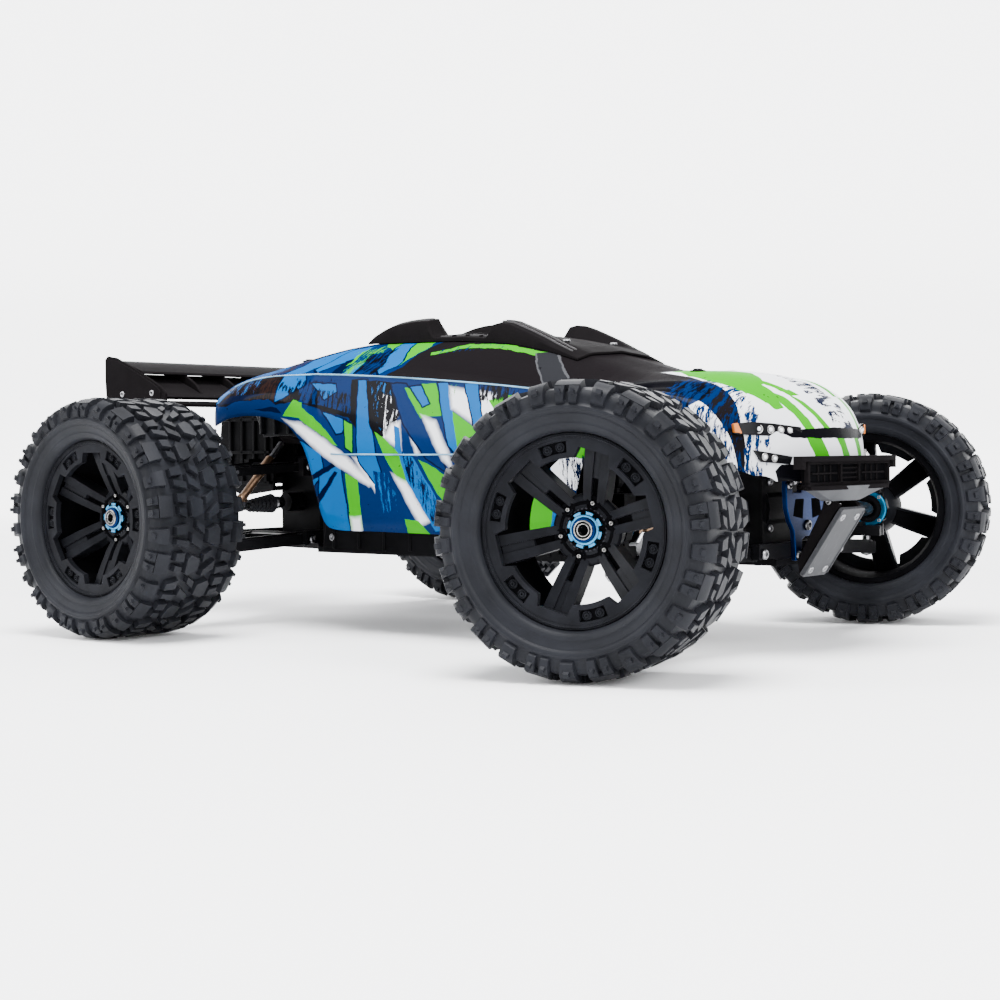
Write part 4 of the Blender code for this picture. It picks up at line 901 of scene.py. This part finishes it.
def make_arch_liners():
    """Dark moulded liners inside the rear wheel arches, over the rockers, with upright ribs."""
    outline = [(-162, 160), (-158, 170), (-120, 179), (-70, 180), (-58, 150), (-58, 96), (-72, 96),
               (-82, 118), (-98, 132), (-124, 137), (-150, 136)]
    for side, word in ((1, "left"), (-1, "right")):
        shape = Shape()
        shape.prism(outline, along_y, side * 74, side * 75.2)
        for x in range(-150, -79, 14):
            low = 138 if x < -100 else 120
            shape.box((x - 1, x + 1), (side * 74.5, side * 78.5), (low, 172))
        piece("arch_liner_" + word, shape, ["shell_inside"], "shell", bevel=0.4)


def rail_height(x):
    (x0, low), (x1, high) = next(pair for pair in zip(RAILS, RAILS[1:]) if pair[0][0] <= x <= pair[1][0])
    return low + (high - low) * (x - x0) / (x1 - x0)


def make_roof_skid():
    """A thin plate over the roof, four raised rails with stepped edges, and cross ribs between them."""
    plate = 3.0
    crest = {50.5: 0.55, 49.5: 0.95, 37.5: 1.0, 35.5: 0.75, 31: 0.0, 15: 0.0, 0: 0.0}
    across = sorted({sign * y for y in crest for sign in (1, -1)})
    shape = Shape()
    rings = []
    for x, rail in RAILS:
        base = min(rail, plate)
        top = [Vector((x, y, shell_height(x, y) + base + (rail - base) * crest[abs(y)])) for y in across]
        low = [Vector((x, y, shell_height(x, y) + 0.6)) for y in across]
        rings.append(top + low[::-1])
    shape.loft(rings)
    for x in (8, 20, 32):
        rib = ((-1.6, 2), (-1, 4.8), (1, 4.8), (1.6, 2))
        shape.loft([[Vector((x + dx, y, shell_height(x, y) + rise)) for dx, rise in rib]
                    for y in (-47, -30, 0, 30, 47)])
    # beads along the rails' edges take the lighter skid edge look: painted highlight on the stepped edges
    bead = ((-0.9, -1), (-0.5, 0.7), (0.5, 0.7), (0.9, -1))
    for side in (1, -1):
        for x0, x1 in ((-60, -14), (-5, 38), (50, 108)):
            for out in (40.5, 44.5):
                line = [(x0 + (x1 - x0) * k / 8, side * out) for k in range(9)]
                shape.loft([[Vector((x, y + dy, shell_height(x, y) + rail_height(x) + dz)) for dy, dz in bead]
                            for x, y in line], 2)
        for x in (-50, 13.5, 26.5, 90):
            shape.screw(Vector((x, side * 27, shell_height(x, 27) + 2.8)), (0, 0, 1), 2.6, 1.6, 1)
    piece("roof_skid_rails", shape, ["satin_black", "steel", "skid_edge_highlight"], "shell",
          "roof_skid", smooth=32, bevel=0.6)


def make_wing():
    """Rear wing: a high and a low blade and four fins between two end plates, on two clamped struts."""
    span = 103.5
    blade = [(-289.5, 192.5), (-288.5, 195.5), (-286, 196.2), (-274, 193.8), (-260, 190), (-251, 186.8),
             (-249.8, 185.2), (-251.5, 184.6), (-260, 186.8), (-276, 190.5)]
    lower_blade = [(-272, 184.2), (-270, 185.6), (-250, 177.5), (-233, 170), (-229, 167.2), (-231, 165.2),
                   (-248, 172.2), (-260, 178)]
    foot = [(-242.5, 160.2), (-242.5, 163.2), (-238, 164.5), (-227, 164), (-225.5, 161.5), (-227.5, 159.8)]
    plate = [(-292, 164.5), (-293.2, 182), (-293, 197), (-290, 199.5), (-280, 197.8), (-262, 190.5),
             (-240, 180.2), (-228, 174), (-223.5, 169.5), (-224, 162), (-227, 160), (-260, 161)]
    panel = [(x * 0.86 - 36.2, z * 0.86 + 25) for x, z in plate]
    strut = [(-250, 161), (-247, 174), (-234, 172.8), (-193, 174.5), (-193, 161)]
    clamp = [(-242, 164), (-244, 170), (-234, 170), (-230, 164)]
    fin = [(-284, 193.5), (-270, 191.5), (-254, 186.5), (-240, 178), (-232, 169), (-240, 166), (-256, 168),
           (-266, 176)]
    shape = Shape()
    for outline in (blade, lower_blade, foot):
        shape.prism(outline, along_y, -span, span)
    for side in (1, -1):
        for outline, low, high in ((plate, span - 1.1, span + 1.1), (panel, span - 2.2, span + 2),
                                   (strut, 18, 24), (clamp, 16.5, 25.5)):
            shape.prism(outline, along_y, side * low, side * high)
        for x in (-238, -272):
            shape.screw(Vector((x, side * (span + 1), 170)), (0, side, 0), 2.4, 1.6, 1)
    for y in (-60, -21, 21, 60):
        shape.prism(fin, along_y, y - 1.2, y + 1.2)
    piece("wing_moulding", shape, ["satin_black", "steel"], "shell", "rear_wing", bevel=0.5)


def on_side(side, *points):
    """Points of the truck's left half, brought to the side that is asked for."""
    return [Vector((x, side * y, z)) for x, y, z in points]


def slab(shape, corners, out, half, paint):
    """A thin block around four corners, reaching half its thickness to both sides of them along out."""
    shape.loft([[p - out * half for p in corners], [p + out * half for p in corners]], paint)


def make_lights():
    """Headlights with four lamps and an amber corner each, and the fog lamps under them."""
    black, amber, silver, lamp = range(4)
    shape = Shape()
    for side in (1, -1):
        out = on_side(side, (0.82, 0.55, 0.15))[0].normalized()
        tops = on_side(side, (251, 80, 139.2), (256, 70, 140.2), (262, 54, 139.2), (270, 36, 137))
        lows = on_side(side, (250, 79, 133), (256, 69, 132.5), (262.5, 53, 131.2), (270.5, 35, 129))
        shape.loft([[low - out * 4, low + out * 1.6, top + out * 1.2, top - out * 4]
                    for top, low in zip(tops, lows)], black)
        out = on_side(side, (0.82, 0.50, 0.10))[0].normalized()
        for k, share in enumerate((0.30, 0.48, 0.64, 0.78)):
            centre = on_side(side, (252.8 + 19 * share, 78 - 43 * share, 136.8 - 2.2 * share))[0]
            bowl = [(-1, 3 - 0.3 * k), (0.6, 2.8 - 0.3 * k), (0.6, 2.2 - 0.3 * k), (-0.4, 1.4)]
            shape.turned(bowl, centre, out, 20, silver)
            shape.turned([(-1, 1.4), (0.8, 1.3), (1.2, 0.6)], centre, out, 16, lamp)
        corner = on_side(side, (250.6, 79.8, 134), (253.2, 76, 133.4), (251.8, 78.5, 139.4),
                         (250, 80.6, 139.2))
        slab(shape, corner, on_side(side, (0.75, 0.62, 0.1))[0].normalized(), 2, amber)
        lens = on_side(side, (256.6, 69, 123.6), (268.2, 45, 119.6), (267.6, 47, 115), (259, 65, 116.6))
        out = on_side(side, (0.9, 0.42, 0))[0].normalized()
        slab(shape, lens, out, 3, black)
        for share in (0.24, 0.50):
            centre = lens[0].lerp(lens[1], share) + Vector((0, 0, -3)) + out * 2.6
            shape.turned([(-1, 2.3), (1.2, 2.2), (1.2, 1.6)], centre, out, 16, silver)
            shape.turned([(-1, 1.3), (1.6, 1.2), (2, 0.6)], centre, out, 12, lamp)
    piece("shell_lights", shape, ["gloss_black", "amber", "silver", "lamp"], "shell", smooth=35,
          bevel=0.3)


def make_post_caps():
    """Caps on the body posts, where the shell is clipped on."""
    shape = Shape()
    for x, y, z in ((-125, 52, 190.5), (188, 20, 173.5)):
        for side in (1, -1):
            shape.rod((x, side * y, z - 4), (x, side * y, z + 2), 3)
            shape.turned([(0, 5.2), (1, 5), (1.2, 3)], (x, side * y, z), (0, 0, 1), 20)
    piece("body_post_caps", shape, ["black_nylon"], "shell", smooth=35, bevel=0.3)


# ================= front end =================
def mirrored_outline(half):
    """A whole outline of (x, y) from its left half."""
    return half + [(x, -y) for x, y in reversed(half)]


def make_bumper():
    """The lip, the grille with its bars and the grey chin of the bumper, and the cheeks under it."""
    recess_shade, grey, steel = 1, 2, 3
    shape = Shape()
    lip = [(279, 61), (285, 60), (288.5, 48), (290.8, 33)]
    shape.prism(lip + [(291.5, 0)] + [(x, -y) for x, y in reversed(lip)], along_z, 116.6, 119.8)
    rail, post = (103, 115.5), (-52.5, 52.5)
    for y, z in ((post, (114.8, 117)), (post, (102, 104.2)), ((-52.5, -50), rail), ((50, 52.5), rail),
                 ((-12.5, -10.5), rail), ((10.5, 12.5), rail)):
        shape.box((281.5, 284.5), y, z)
    # near-black block behind the grille bars: painted shade in the grille's opening
    shape.box((279, 282.2), (-51.5, 51.5), (102.5, 116), recess_shade)
    for z in (106.5, 109.5, 112.5):
        shape.box((282, 283.6), (-10, 10), (z - 0.6, z + 0.6))
    low = [(260, 23), (280, 50), (285, 50), (288.5, 40), (289.5, 30)]
    shape.prism(mirrored_outline(low), along_z, 99.5, 102.2)
    chin = mirrored_outline([(278, 44), (285, 44), (290, 12)])
    levels = ((0, 1, 101.8), (0.5, 1, 99.5), (4, 0.42, 92.5))
    shape.loft([[Vector((x - back, y * narrow, z)) for x, y in chin] for back, narrow, z in levels], grey)
    cheek = [(274, 97), (283.8, 90), (256, 47.5), (255.1, 56), (272, 88)]
    for side in (1, -1):
        end = [(279, side * 61), (285, side * 60), (285, side * 56), (279, side * 56)]
        shape.prism(end, along_z, 112, 117)
        shape.box((282, 283.8), (side * 16, side * 46), (108.8, 110))
        for out in (22.5, 30, 37.5):
            shape.box((282, 283), (side * out - 0.8, side * out + 0.8), (104.5, 114.5))
        shape.prism(cheek, along_y, side * 10, side * 13.5)
        shape.screw(Vector((276.5, side * 13.3, 92)), (0, side, 0), 2, 1.2, steel)
    piece("bumper_moulding", shape, ["satin_black", "recess_shade", "grey_plate", "steel"], "chassis",
          "front_bumper", bevel=0.5)


def make_front_skid():
    """The scuffed plate under the bumper, sloping down and back, with a lip along each side."""
    down = (Vector((257.5, 0, 46.5)) - Vector((286, 0, 89))).normalized()
    out = Vector((-down.z, 0, down.x))
    length = 50.5

    def on_plate(share, y, lift):
        return Vector((284.8, y, 88.8)) + down * length * share + out * lift

    shape = Shape()
    shape.loft([[on_plate(share, -half, 0), on_plate(share, half, 0), on_plate(share, half, 2.6),
                 on_plate(share, -half, 2.6)]
                for share, half in ((0, 13.5), (0.03, 15), (0.97, 15), (1, 13.5))])
    for side in (1, -1):
        lip = ((-0.8, 2), (0.8, 2), (0.6, 3.2), (-0.6, 3.2))
        shape.loft([[on_plate(share, side * 14.5 + dy, lift) for dy, lift in lip] for share in (0.04, 0.96)])
        for share in (0.12, 0.90):
            shape.screw(on_plate(share, side * 9, 2.2), out, 2.6, 1, 1)
    piece("front_skid_scuffed", shape, ["scuffed", "steel"], "chassis", "front_skid_plate",
          bevel=0.4)


def make_brace():
    """The blue plate that holds the bumper, with two near-black patches on its face as painted shade for its
    two windows.
    """
    shape = Shape()
    half = [(6, 103), (8, 97.5), (18, 97.5), (20, 104), (21.5, 106), (25.5, 106), (26.2, 101), (25, 88),
            (21.5, 80), (16.5, 74), (15, 64), (14.5, 55.5), (9, 55.5), (7.5, 60), (6.5, 68), (3, 70)]
    shape.prism(half + [(-y, z) for y, z in reversed(half)], along_x, 251.3, 254.7)
    # near-black patches on the plate's face: painted shade in place of its two windows
    window = [(4.5, 93.5), (15, 93.5), (18, 83), (6, 81)]
    for side in (1, -1):
        shape.prism([(side * y, z) for y, z in window], along_x, 254, 254.9, 1)
        for y, z in ((22.8, 102), (11.8, 59)):
            shape.screw(Vector((254.6, side * y, z)), (1, 0, 0), 2.6, 1.6, 2)
    shape.screw(Vector((254.6, 0, 77)), (1, 0, 0), 3.4, 1.8, 2)
    piece("brace_plate", shape, ["blue_anodised", "recess_shade", "steel"], "chassis",
          "bumper_brace", bevel=0.5)


# ================= suspension =================
def corner_point(corner, toward, out, height):
    """A point of a corner: toward the truck's middle from its axle, outward from the centre line, and up."""
    end, side = corner.split("_")
    return Vector((AXLE_X[end] + TOWARD[end] * toward, out if side == "left" else -out, height))


def make_spring(corner):
    """Coil around a shock, its collar on the body and its seat on the rod."""
    head = corner_point(corner, PUSH_TOWARD + ROCKER_LEVER, *PUSH_HEAD)
    push = (head - corner_point(corner, PUSH_TOWARD + ROCKER_LEVER, *PUSH_FOOT)).normalized()
    start = head + push * SHOCK_LEVER
    direction = Vector((TOWARD[corner.split("_")[0]], 0, 0))
    low, high, radius, wire, coils = 15, 56, 10.6, 0.95, 8.5
    flat_share = 0.06
    count = int(coils * 20)
    path = []
    for k in range(count + 1):
        share = k / count
        angle = 2 * math.pi * coils * share
        pace = min(max((share - flat_share) / (1 - 2 * flat_share), 0.0), 1.0)
        path.append(start + direction * (low + (high - low) * pace)
                    + Vector((0, math.cos(angle), math.sin(angle))) * radius)
    shape = Shape()
    shape.tube(path, wire)
    coil = solid(corner + "_spring", shape, ["spring"], smooth=60)
    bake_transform(coil)

    collar = Shape()
    collar.turned([(high + 0.8, 8.6), (high + 0.8, 12), (high + 4.5, 12), (high + 4.5, 8.6)], start,
                  direction, wrap=True)
    for c, s in circle(12):
        grip = start + Vector((0, c, s)) * 11.9
        collar.rod(grip + direction * (high + 1), grip + direction * (high + 4.3), 0.7, 8)
    piece(corner + "_spring_collar", collar, ["teal_anodised"], "chassis", bevel=0.2)

    seat = Shape()
    seat.turned([(low - 2.8, 4.4), (low - 2.8, 8.5), (low - 1, 11.8), (low, 11.8), (low, 4.4)], start,
                direction, wrap=True)
    piece(corner + "_spring_seat", seat, ["black_nylon"], corner + "_shock_rod", bevel=0.2)


def make_pushrod_sleeve(corner):
    foot = corner_point(corner, PUSH_TOWARD, *PUSH_FOOT)
    up = (corner_point(corner, PUSH_TOWARD, *PUSH_HEAD) - foot).normalized()
    sleeve = Shape()
    sleeve.turned([(12, 3), (13, 3.6), (30, 3.6), (31, 3), (31.5, 4), (37, 4), (37.5, 3), (60, 3), (61, 3.6),
                   (76, 3.6), (77, 2.6)], foot, up, 20)
    piece(corner + "_pushrod_sleeve", sleeve, ["bronze"], corner + "_pushrod", smooth=35, bevel=0.2)


def make_bearing_ring(corner):
    """The blue ring around the axle on an upright's inner face, with four screws."""
    turn = Matrix.Rotation(STEER[corner], 3, "Z")
    outward = turn @ (corner_point(corner, 0, 1, 0) - corner_point(corner, 0, 0, 0))
    centre = corner_point(corner, 0, KINGPIN_Y, AXLE_Z) + outward * 6
    ring = Shape()
    ring.turned([(-4, 9.6), (1.2, 9.6), (1.6, 10.4), (1.6, 12.6), (0.8, 13.4), (-4, 13.4)], centre, -outward,
                40, wrap=True)
    for a in (1, -1):
        for b in (1, -1):
            across = turn @ Vector((a, 0, b)).normalized()
            ring.screw(centre + across * 11.5 - outward * 1.2, -outward, 1.4, 0.9, 1)
    piece(corner + "_bearing_ring", ring, ["teal_anodised", "steel"], corner + "_upright",
          bevel=0.3)


def make_shaft_boot(corner):
    """Bellows at the half shaft's inner end, and the collar at its outer end."""
    inner = corner_point(corner, 0, HINGE_Y, AXLE_Z + 6)
    along = corner_point(corner, 0, KINGPIN_Y, AXLE_Z) - inner
    length = along.length
    profile = []
    for k in range(7):
        a = 8 + 3.6 * k
        profile += [(a, 7.2 - 0.4 * k), (a + 1.8, 5.6 - 0.3 * k)]
    boot = Shape()
    boot.turned(profile, inner, along, 24)
    collar = [(length - 32, 3.6), (length - 31, 4.6), (length - 20, 4.6), (length - 19, 5.8)]
    boot.turned(collar, inner, along, 24)
    piece(corner + "_shaft_boot", boot, ["rubber"], corner + "_half_shaft", smooth=40)


def make_hinge_pins(corner):
    pins = Shape()
    for z, half, radius in ((LOWER_HINGE_Z, 35, 3.2), (UPPER_HINGE_Z, 32, 2.8)):
        for end in (-1, 1):
            pins.screw(corner_point(corner, end * half, HINGE_Y, z),
                       (TOWARD[corner.split("_")[0]] * end, 0, 0), radius, 1.6)
    piece(corner + "_hinge_pins", pins, ["steel"], "chassis", smooth=35)


def make_arm_ribs(corner):
    """Raised ribs along both edges of the lower and the upper arm."""
    drop = -6 / (KINGPIN_Y - HINGE_Y)
    section = ((-1.2, -1), (-0.8, 1.2), (0.8, 1.2), (1.2, -1))
    for arm, hinge_z, thick, inner_half, outer_half in (("_lower_arm", LOWER_HINGE_Z, 4, 24, 8),
                                                        ("_upper_arm", UPPER_HINGE_Z, 3, 22, 5)):
        ribs = Shape()
        for edge in (-1, 1):
            line = [corner_point(corner, edge * half, out, hinge_z + drop * (out - HINGE_Y) + thick)
                    for out, half in ((53, inner_half), (140, outer_half))]
            ribs.loft([[p + Vector((dx, 0, dz)) for dx, dz in section] for p in line])
        piece(corner + arm + "_ribs", ribs, ["black_nylon"], corner + arm)


# ================= chassis =================
def make_tail_frame():
    """Ribbed moulding behind the rear gear housing, under the shell's tail."""
    shape = Shape()
    plate = [(-176, 96), (-176, 150), (-200, 157), (-224, 156), (-233, 148), (-236, 124), (-228, 98),
             (-210, 92)]
    for side in (1, -1):
        shape.prism(plate, along_y, side * 38.5, side * 41)
        for x in range(-221, -181, 13):
            shape.box((x - 1.2, x + 1.2), (side * 40.5, side * 43.5), (101, 152))
        for z in (102, 125, 150):
            shape.box((-228, -178), (side * 40.5, side * 43.5), (z - 1.2, z + 1.2))
        shape.screw(Vector((-201.5, side * 41, 113)), (0, side, 0), 2.6, 1.6, 1)
    shape.box((-231, -228.5), (-39.5, 39.5), (100, 150))
    shape.box((-225, -178), (-39.5, 39.5), (96, 98.5))
    piece("tail_frame", shape, ["black_nylon", "steel"], "chassis", bevel=0.5)


def make_sills():
    """Ribbed side walls of the tub, and the screws under its floor."""
    shape = Shape()
    sill = [(-100, 53.5), (-96, 76), (108, 76), (114, 53.5)]
    for side in (1, -1):
        shape.prism(sill, along_y, side * 65.6, side * 66.4)
        for x in range(-88, 105, 24):
            shape.box((x - 1.2, x + 1.2), (side * 65.4, side * 67.2), (56, 74.5))
        for x in (105, -90):
            shape.screw(Vector((x, side * 66, 64)), (0, side, 0), 2.8, paint=1)
        for x in (-150, -120, 140, 170, 230):
            shape.screw(Vector((x, side * 18, 53.2)), (0, 0, -1), 3, 1.2, 1)
    piece("chassis_sills", shape, ["black_nylon", "steel"], "chassis", bevel=0.3)


def make_mount_towers():
    """Posts over both gear housings that carry the shell."""
    tower = Shape()
    for x0, x1 in ((-200, -166), (218, 245)):
        tower.box((x0, x1), (-20, 20), (109, 118))
        tower.box((x0, x1), (-28, 28), (150, 157))
        for y in (-23, -8, 8, 23):
            tower.box((x0 + 4, x1 - 4), (y - 2.2, y + 2.2), (110, 156))
        for y in (-23, 23):
            tower.screw(Vector(((x0 + x1) / 2, y, 157)), (0, 0, 1), 2.8, 1.6, 1)
            tower.rod((x0 + 6, y * 0.8, 156), (x0 + 6, y * 0.8, 166), 3)
    piece("body_mount_towers", tower, ["black_nylon", "steel"], "chassis", bevel=0.6)


def make_motor_fins():
    motor = Shape()
    for k in range(12):
        a = 10 + 4 * k
        motor.turned([(a, 19.5), (a, 21.2), (a + 1.8, 21.2), (a + 1.8, 19.5)], (-43.2, 0, 105), (1, 0, 0), 40,
                     wrap=True)
    piece("motor_fins", motor, ["motor_metal"], "chassis")


def make_power_wires():
    """Three wires from the motor to the speed controller, and two from it to the batteries."""
    wires = Shape()
    for k, y in enumerate((-8, 0, 8)):
        wires.tube(smooth_path([(26.2, y * 0.6, 112 + 2 * k), (30, y, 114 + 3 * k), (40, y, 113.5 + 2 * k),
                                (48, y, 108.5)]), 1.7, 10)
    for side in (1, -1):
        wires.tube(smooth_path([(86, side * 12, 98), (94, side * 18, 96), (98, side * 32, 92),
                                (94, side * 40, 86), (90, side * 40, 84)]), 2, 10)
    piece("power_wires", wires, ["wire"], "chassis", smooth=60)


def make_controller_fins():
    fins = Shape()
    for k in range(8):
        y = -20.5 + 5.8 * k
        fins.box((34, 82), (y - 0.9, y + 0.9), (107.8, 112))
    for x in (32, 84):
        for y in (21.5, -21.5):
            fins.screw(Vector((x, y, 108)), (0, 0, 1), 1.8, 1.2, 1)
    piece("controller_fins", fins, ["satin_black", "steel"], "chassis", bevel=0.2)


def make_battery_straps():
    straps = Shape()
    for side in (1, -1):
        for x in (-10, 62):
            straps.box((x - 6, x + 6), (side * 17.5, side * 60), (83.4, 84.6))
    piece("battery_straps", straps, ["satin_black"], "chassis", bevel=0.3)


def make_housing_screws():
    screws = Shape()
    for end, toward in TOWARD.items():
        x = AXLE_X[end]
        for dx, y in ((0, 12), (0, -12), (toward * 12, 0)):
            screws.screw(Vector((x + dx, y, 112.8)), (0, 0, 1), 2.6, 1.8)
        for y in (15, -15):
            for z in (75, 104):
                screws.screw(Vector((x - toward * 19.9, y, z)), (-toward, 0, 0), 2.6, 1.6)
    for x in (-88, -50):
        for z in (118, 66):
            for side in (1, -1):
                screws.screw(Vector((x, side * 27.9, z)), (0, side, 0), 2.4)
    piece("housing_screws", screws, ["steel"], "chassis")


# CAD nodes that still show, by the ends of their names: look and edge rounding
CAD_LOOKS = (
    ("_lower_arm", "black_nylon", 0.9), ("_upper_arm", "black_nylon", 0.7), ("_upright", "black_nylon", 0.6),
    ("_half_shaft", "steel", 0), ("_pushrod", "steel", 0.3), ("_rocker", "satin_black", 0.5),
    ("_shock_body", "teal_anodised", 0.4), ("_shock_rod", "steel", 0), ("pillow_ball_left", "steel", 0),
    ("pillow_ball_right", "steel", 0), ("steering_rack", "black_nylon", 0.5),
    ("tie_rod_left", "steel", 0.3), ("tie_rod_right", "steel", 0.3), ("chassis_tub", "black_nylon", 0.6),
    ("gear_housing", "black_nylon", 0.6), ("gearbox", "black_nylon", 0.8), ("motor", "motor_metal", 0.4),
    ("battery_left", "battery_wrap", 1.2), ("battery_right", "battery_wrap", 1.2),
    ("speed_controller", "satin_black", 1.0), ("steering_servo", "satin_black", 0.7),
)


def dress_frame():
    """Give every CAD node that still shows its finish and softly rounded edges."""
    for name, obj in frame["nodes"].items():
        for ending, look, width in CAD_LOOKS:
            if name.endswith(ending):
                obj.data.materials.clear()
                obj.data.materials.append(MATERIALS[look])
                if width:
                    soften(obj, width)
                break


# ================= studio =================
VIEW_YAW, VIEW_PITCH, VIEW_ROLL = math.radians(38.843), math.radians(1.622), math.radians(0.5176)
VIEW_RIGHT = Vector((math.cos(VIEW_YAW), math.sin(VIEW_YAW), 0))
VIEW_AHEAD = Vector((-math.sin(VIEW_YAW), math.cos(VIEW_YAW), 0))


def studio_white():
    """White that glows more with its distance from the truck."""
    g = Graph("studio_white")
    reach = g.add("VectorMath", {0: g.place}, operation="LENGTH").outputs["Value"]
    for socket, value in (("Base Color", colour((0.93, 0.93, 0.94))), ("Roughness", 0.8),
                          ("Emission Color", colour((1.0, 1.0, 1.0))),
                          ("Emission Strength", g.level(reach, 0.6, 2.8, 0.05, 3.0))):
        g.put(g.shader.inputs[socket], value)
    return g.material


def make_floor():
    """A floor that rises behind the truck. Its sizes are in metres."""
    half_width = 14.0
    profile = [(-40, 0), (-12, 0), (-4, 0), (-1, 0), (2, 0), (5, 0), (6.2, 0.5), (6.6, 1.6), (6.6, 6)]
    edges = (VIEW_RIGHT * -half_width, VIEW_RIGHT * half_width)
    rows = smooth_rows([[VIEW_AHEAD * d + Vector((0, 0, z)) + edge for edge in edges] for d, z in profile], 6)
    sweep = Shape()
    made = [[sweep.bm.verts.new(p / MM) for p in row] for row in rows]
    for first, second in zip(made, made[1:]):
        sweep.bm.faces.new((first[0], first[1], second[1], second[0]))
    solid("studio_floor", sweep, ["floor"], 60, place=Matrix())


def make_lamps():
    """Four soft round lamps, placed and sized in metres."""
    for name, place, aim, size, power in (
            ("lamp_overhead", (0.2, -0.4, 1.9), (0, 0, 0.1), 1.2, 125.0),
            ("lamp_front", (1.7, -0.6, 1.0), (0.1, 0, 0.1), 1.0, 40.0),
            ("lamp_left", (-1.2, -1.6, 1.1), (0, 0, 0.1), 1.0, 42.0),
            ("lamp_back", (-0.6, 1.6, 1.4), (0, 0, 0.1), 1.4, 20.0)):
        data = bpy.data.lights.new(name, "AREA")
        data.shape = "DISK"
        data.size = size
        data.energy = power
        turn = (Vector(aim) - Vector(place)).to_track_quat("-Z", "Y").to_matrix().to_4x4()
        add_object(name, data, Matrix.Translation(place) @ turn)


def make_world():
    world = bpy.data.worlds.new("studio")
    world.use_nodes = True
    world.node_tree.nodes["Background"].inputs[0].default_value = (0.95, 0.97, 1.0, 1.0)
    world.node_tree.nodes["Background"].inputs[1].default_value = 1.1
    bpy.context.scene.world = world


def make_camera():
    forward = VIEW_AHEAD * math.cos(VIEW_PITCH) - Vector((0, 0, math.sin(VIEW_PITCH)))
    up = VIEW_RIGHT.cross(forward)
    side = VIEW_RIGHT * math.cos(VIEW_ROLL) - up * math.sin(VIEW_ROLL)
    top = VIEW_RIGHT * math.sin(VIEW_ROLL) + up * math.cos(VIEW_ROLL)
    turn = Matrix((side, top, -forward)).transposed().to_4x4()
    data = bpy.data.cameras.new("camera")
    data.lens = 63.45
    data.sensor_width = 36.0
    place = Matrix.Translation((0.78076, -0.96936, 0.12504))
    bpy.context.scene.camera = add_object("camera", data, place @ turn)


MATERIALS = {
    "rubber": finish("tyre_rubber", (0.0088, 0.0094, 0.0118), 0.48, 1400.0, 0.00003, blotch=35.0, ior=1.17),
    "wheel_nylon": finish("wheel_nylon", (0.0068, 0.0072, 0.0090), 0.38, 1800.0, 0.00003, ior=1.12),
    # near-black with almost no reflection: painted shade for the rim barrel, spoke webs, bolt pockets, hub,
    # grille back and brace windows
    "recess_shade": finish("recess_shade_black", (0.0020, 0.0020, 0.0024), 0.50, 1200.0, ior=1.02),
    "black_nylon": finish("black_nylon", (0.0030, 0.0030, 0.0036), 0.42, 1500.0, 0.00005, ior=1.10),
    "satin_black": finish("satin_black", (0.0058, 0.0052, 0.0056), 0.38, 1700.0, 0.00003, 0.08, ior=1.012),
    "grey_plate": finish("grey_plate", (0.060, 0.062, 0.066), 0.40, 1200.0, vary=0.12, ior=1.08),
    # lighter grey for the roof skid's rail beads: painted highlight
    "skid_edge_highlight": finish("skid_edge_highlight", (0.020, 0.019, 0.020), 0.35, 1500.0, ior=1.2),
    # lighter glossy blue for the crease tubes: painted highlight along the creases
    "crease_highlight": finish("crease_painted_highlight", (0.10, 0.24, 0.36), 0.22, 300.0, vary=0.35, coat=0.6, blotch=30.0),
    "battery_wrap": finish("battery_wrap", (0.010, 0.010, 0.013), 0.35, 500.0, vary=0.2),
    "wire": finish("wire_sleeve", (0.004, 0.004, 0.0045), 0.45, 700.0),
    "shell_inside": finish("shell_inside", (0.0025, 0.0028, 0.0040), 0.45, 600.0),
    "amber": finish("amber_lens", (0.50, 0.14, 0.02), 0.20, 300.0, vary=0.1, coat=0.5),
    "lamp": finish("lamp_white", (0.75, 0.77, 0.80), 0.15, 300.0, vary=0.05, coat=0.5),
    "blue_anodised": brushed("blue_anodised", (0.003, 0.018, 0.080), 0.40),
    "teal_anodised": brushed("teal_anodised", (0.006, 0.150, 0.300), 0.32),
    "light_blue": brushed("light_blue_anodised", (0.060, 0.260, 0.480), 0.30),
    "steel": brushed("steel", (0.26, 0.26, 0.27), 0.30),
    "silver": brushed("silver", (0.38, 0.37, 0.36), 0.28),
    "bronze": brushed("bronze_aluminium", (0.26, 0.16, 0.10), 0.34),
    "motor_metal": brushed("motor_metal", (0.03, 0.03, 0.035), 0.36),
    "spring": finish("spring_coat", (0.30, 0.31, 0.32), 0.30, vary=0.08),
    "gloss_black": glossy_black(),
    "scuffed": scuffed_plate(),
    "floor": studio_white(),
    "livery_side": livery("livery_side", "XZ", BLUE, SIDE_LAYERS),
    "livery_cab": livery("livery_cab", "XZ", BLUE, UPPER_LAYERS, 1.006, 0.0),
    "livery_hood": livery("livery_hood", "XY", SMOKE, HOOD_LAYERS, 1.008, 0.0),
    "livery_nose": livery("livery_nose", "YZ", WHITE, NOSE_LAYERS),
}


def main():
    make_camera()
    make_floor()
    make_lamps()
    make_world()
    make_wheels()
    make_shell()
    make_arch_liners()
    make_roof_skid()
    make_wing()
    make_lights()
    make_post_caps()
    make_bumper()
    make_front_skid()
    make_brace()
    for corner in STEER:
        make_spring(corner)
        make_pushrod_sleeve(corner)
        make_bearing_ring(corner)
        make_shaft_boot(corner)
        make_hinge_pins(corner)
        make_arm_ribs(corner)
    make_tail_frame()
    make_sills()
    make_mount_towers()
    make_motor_fins()
    make_power_wires()
    make_controller_fins()
    make_battery_straps()
    make_housing_screws()
    dress_frame()


main()
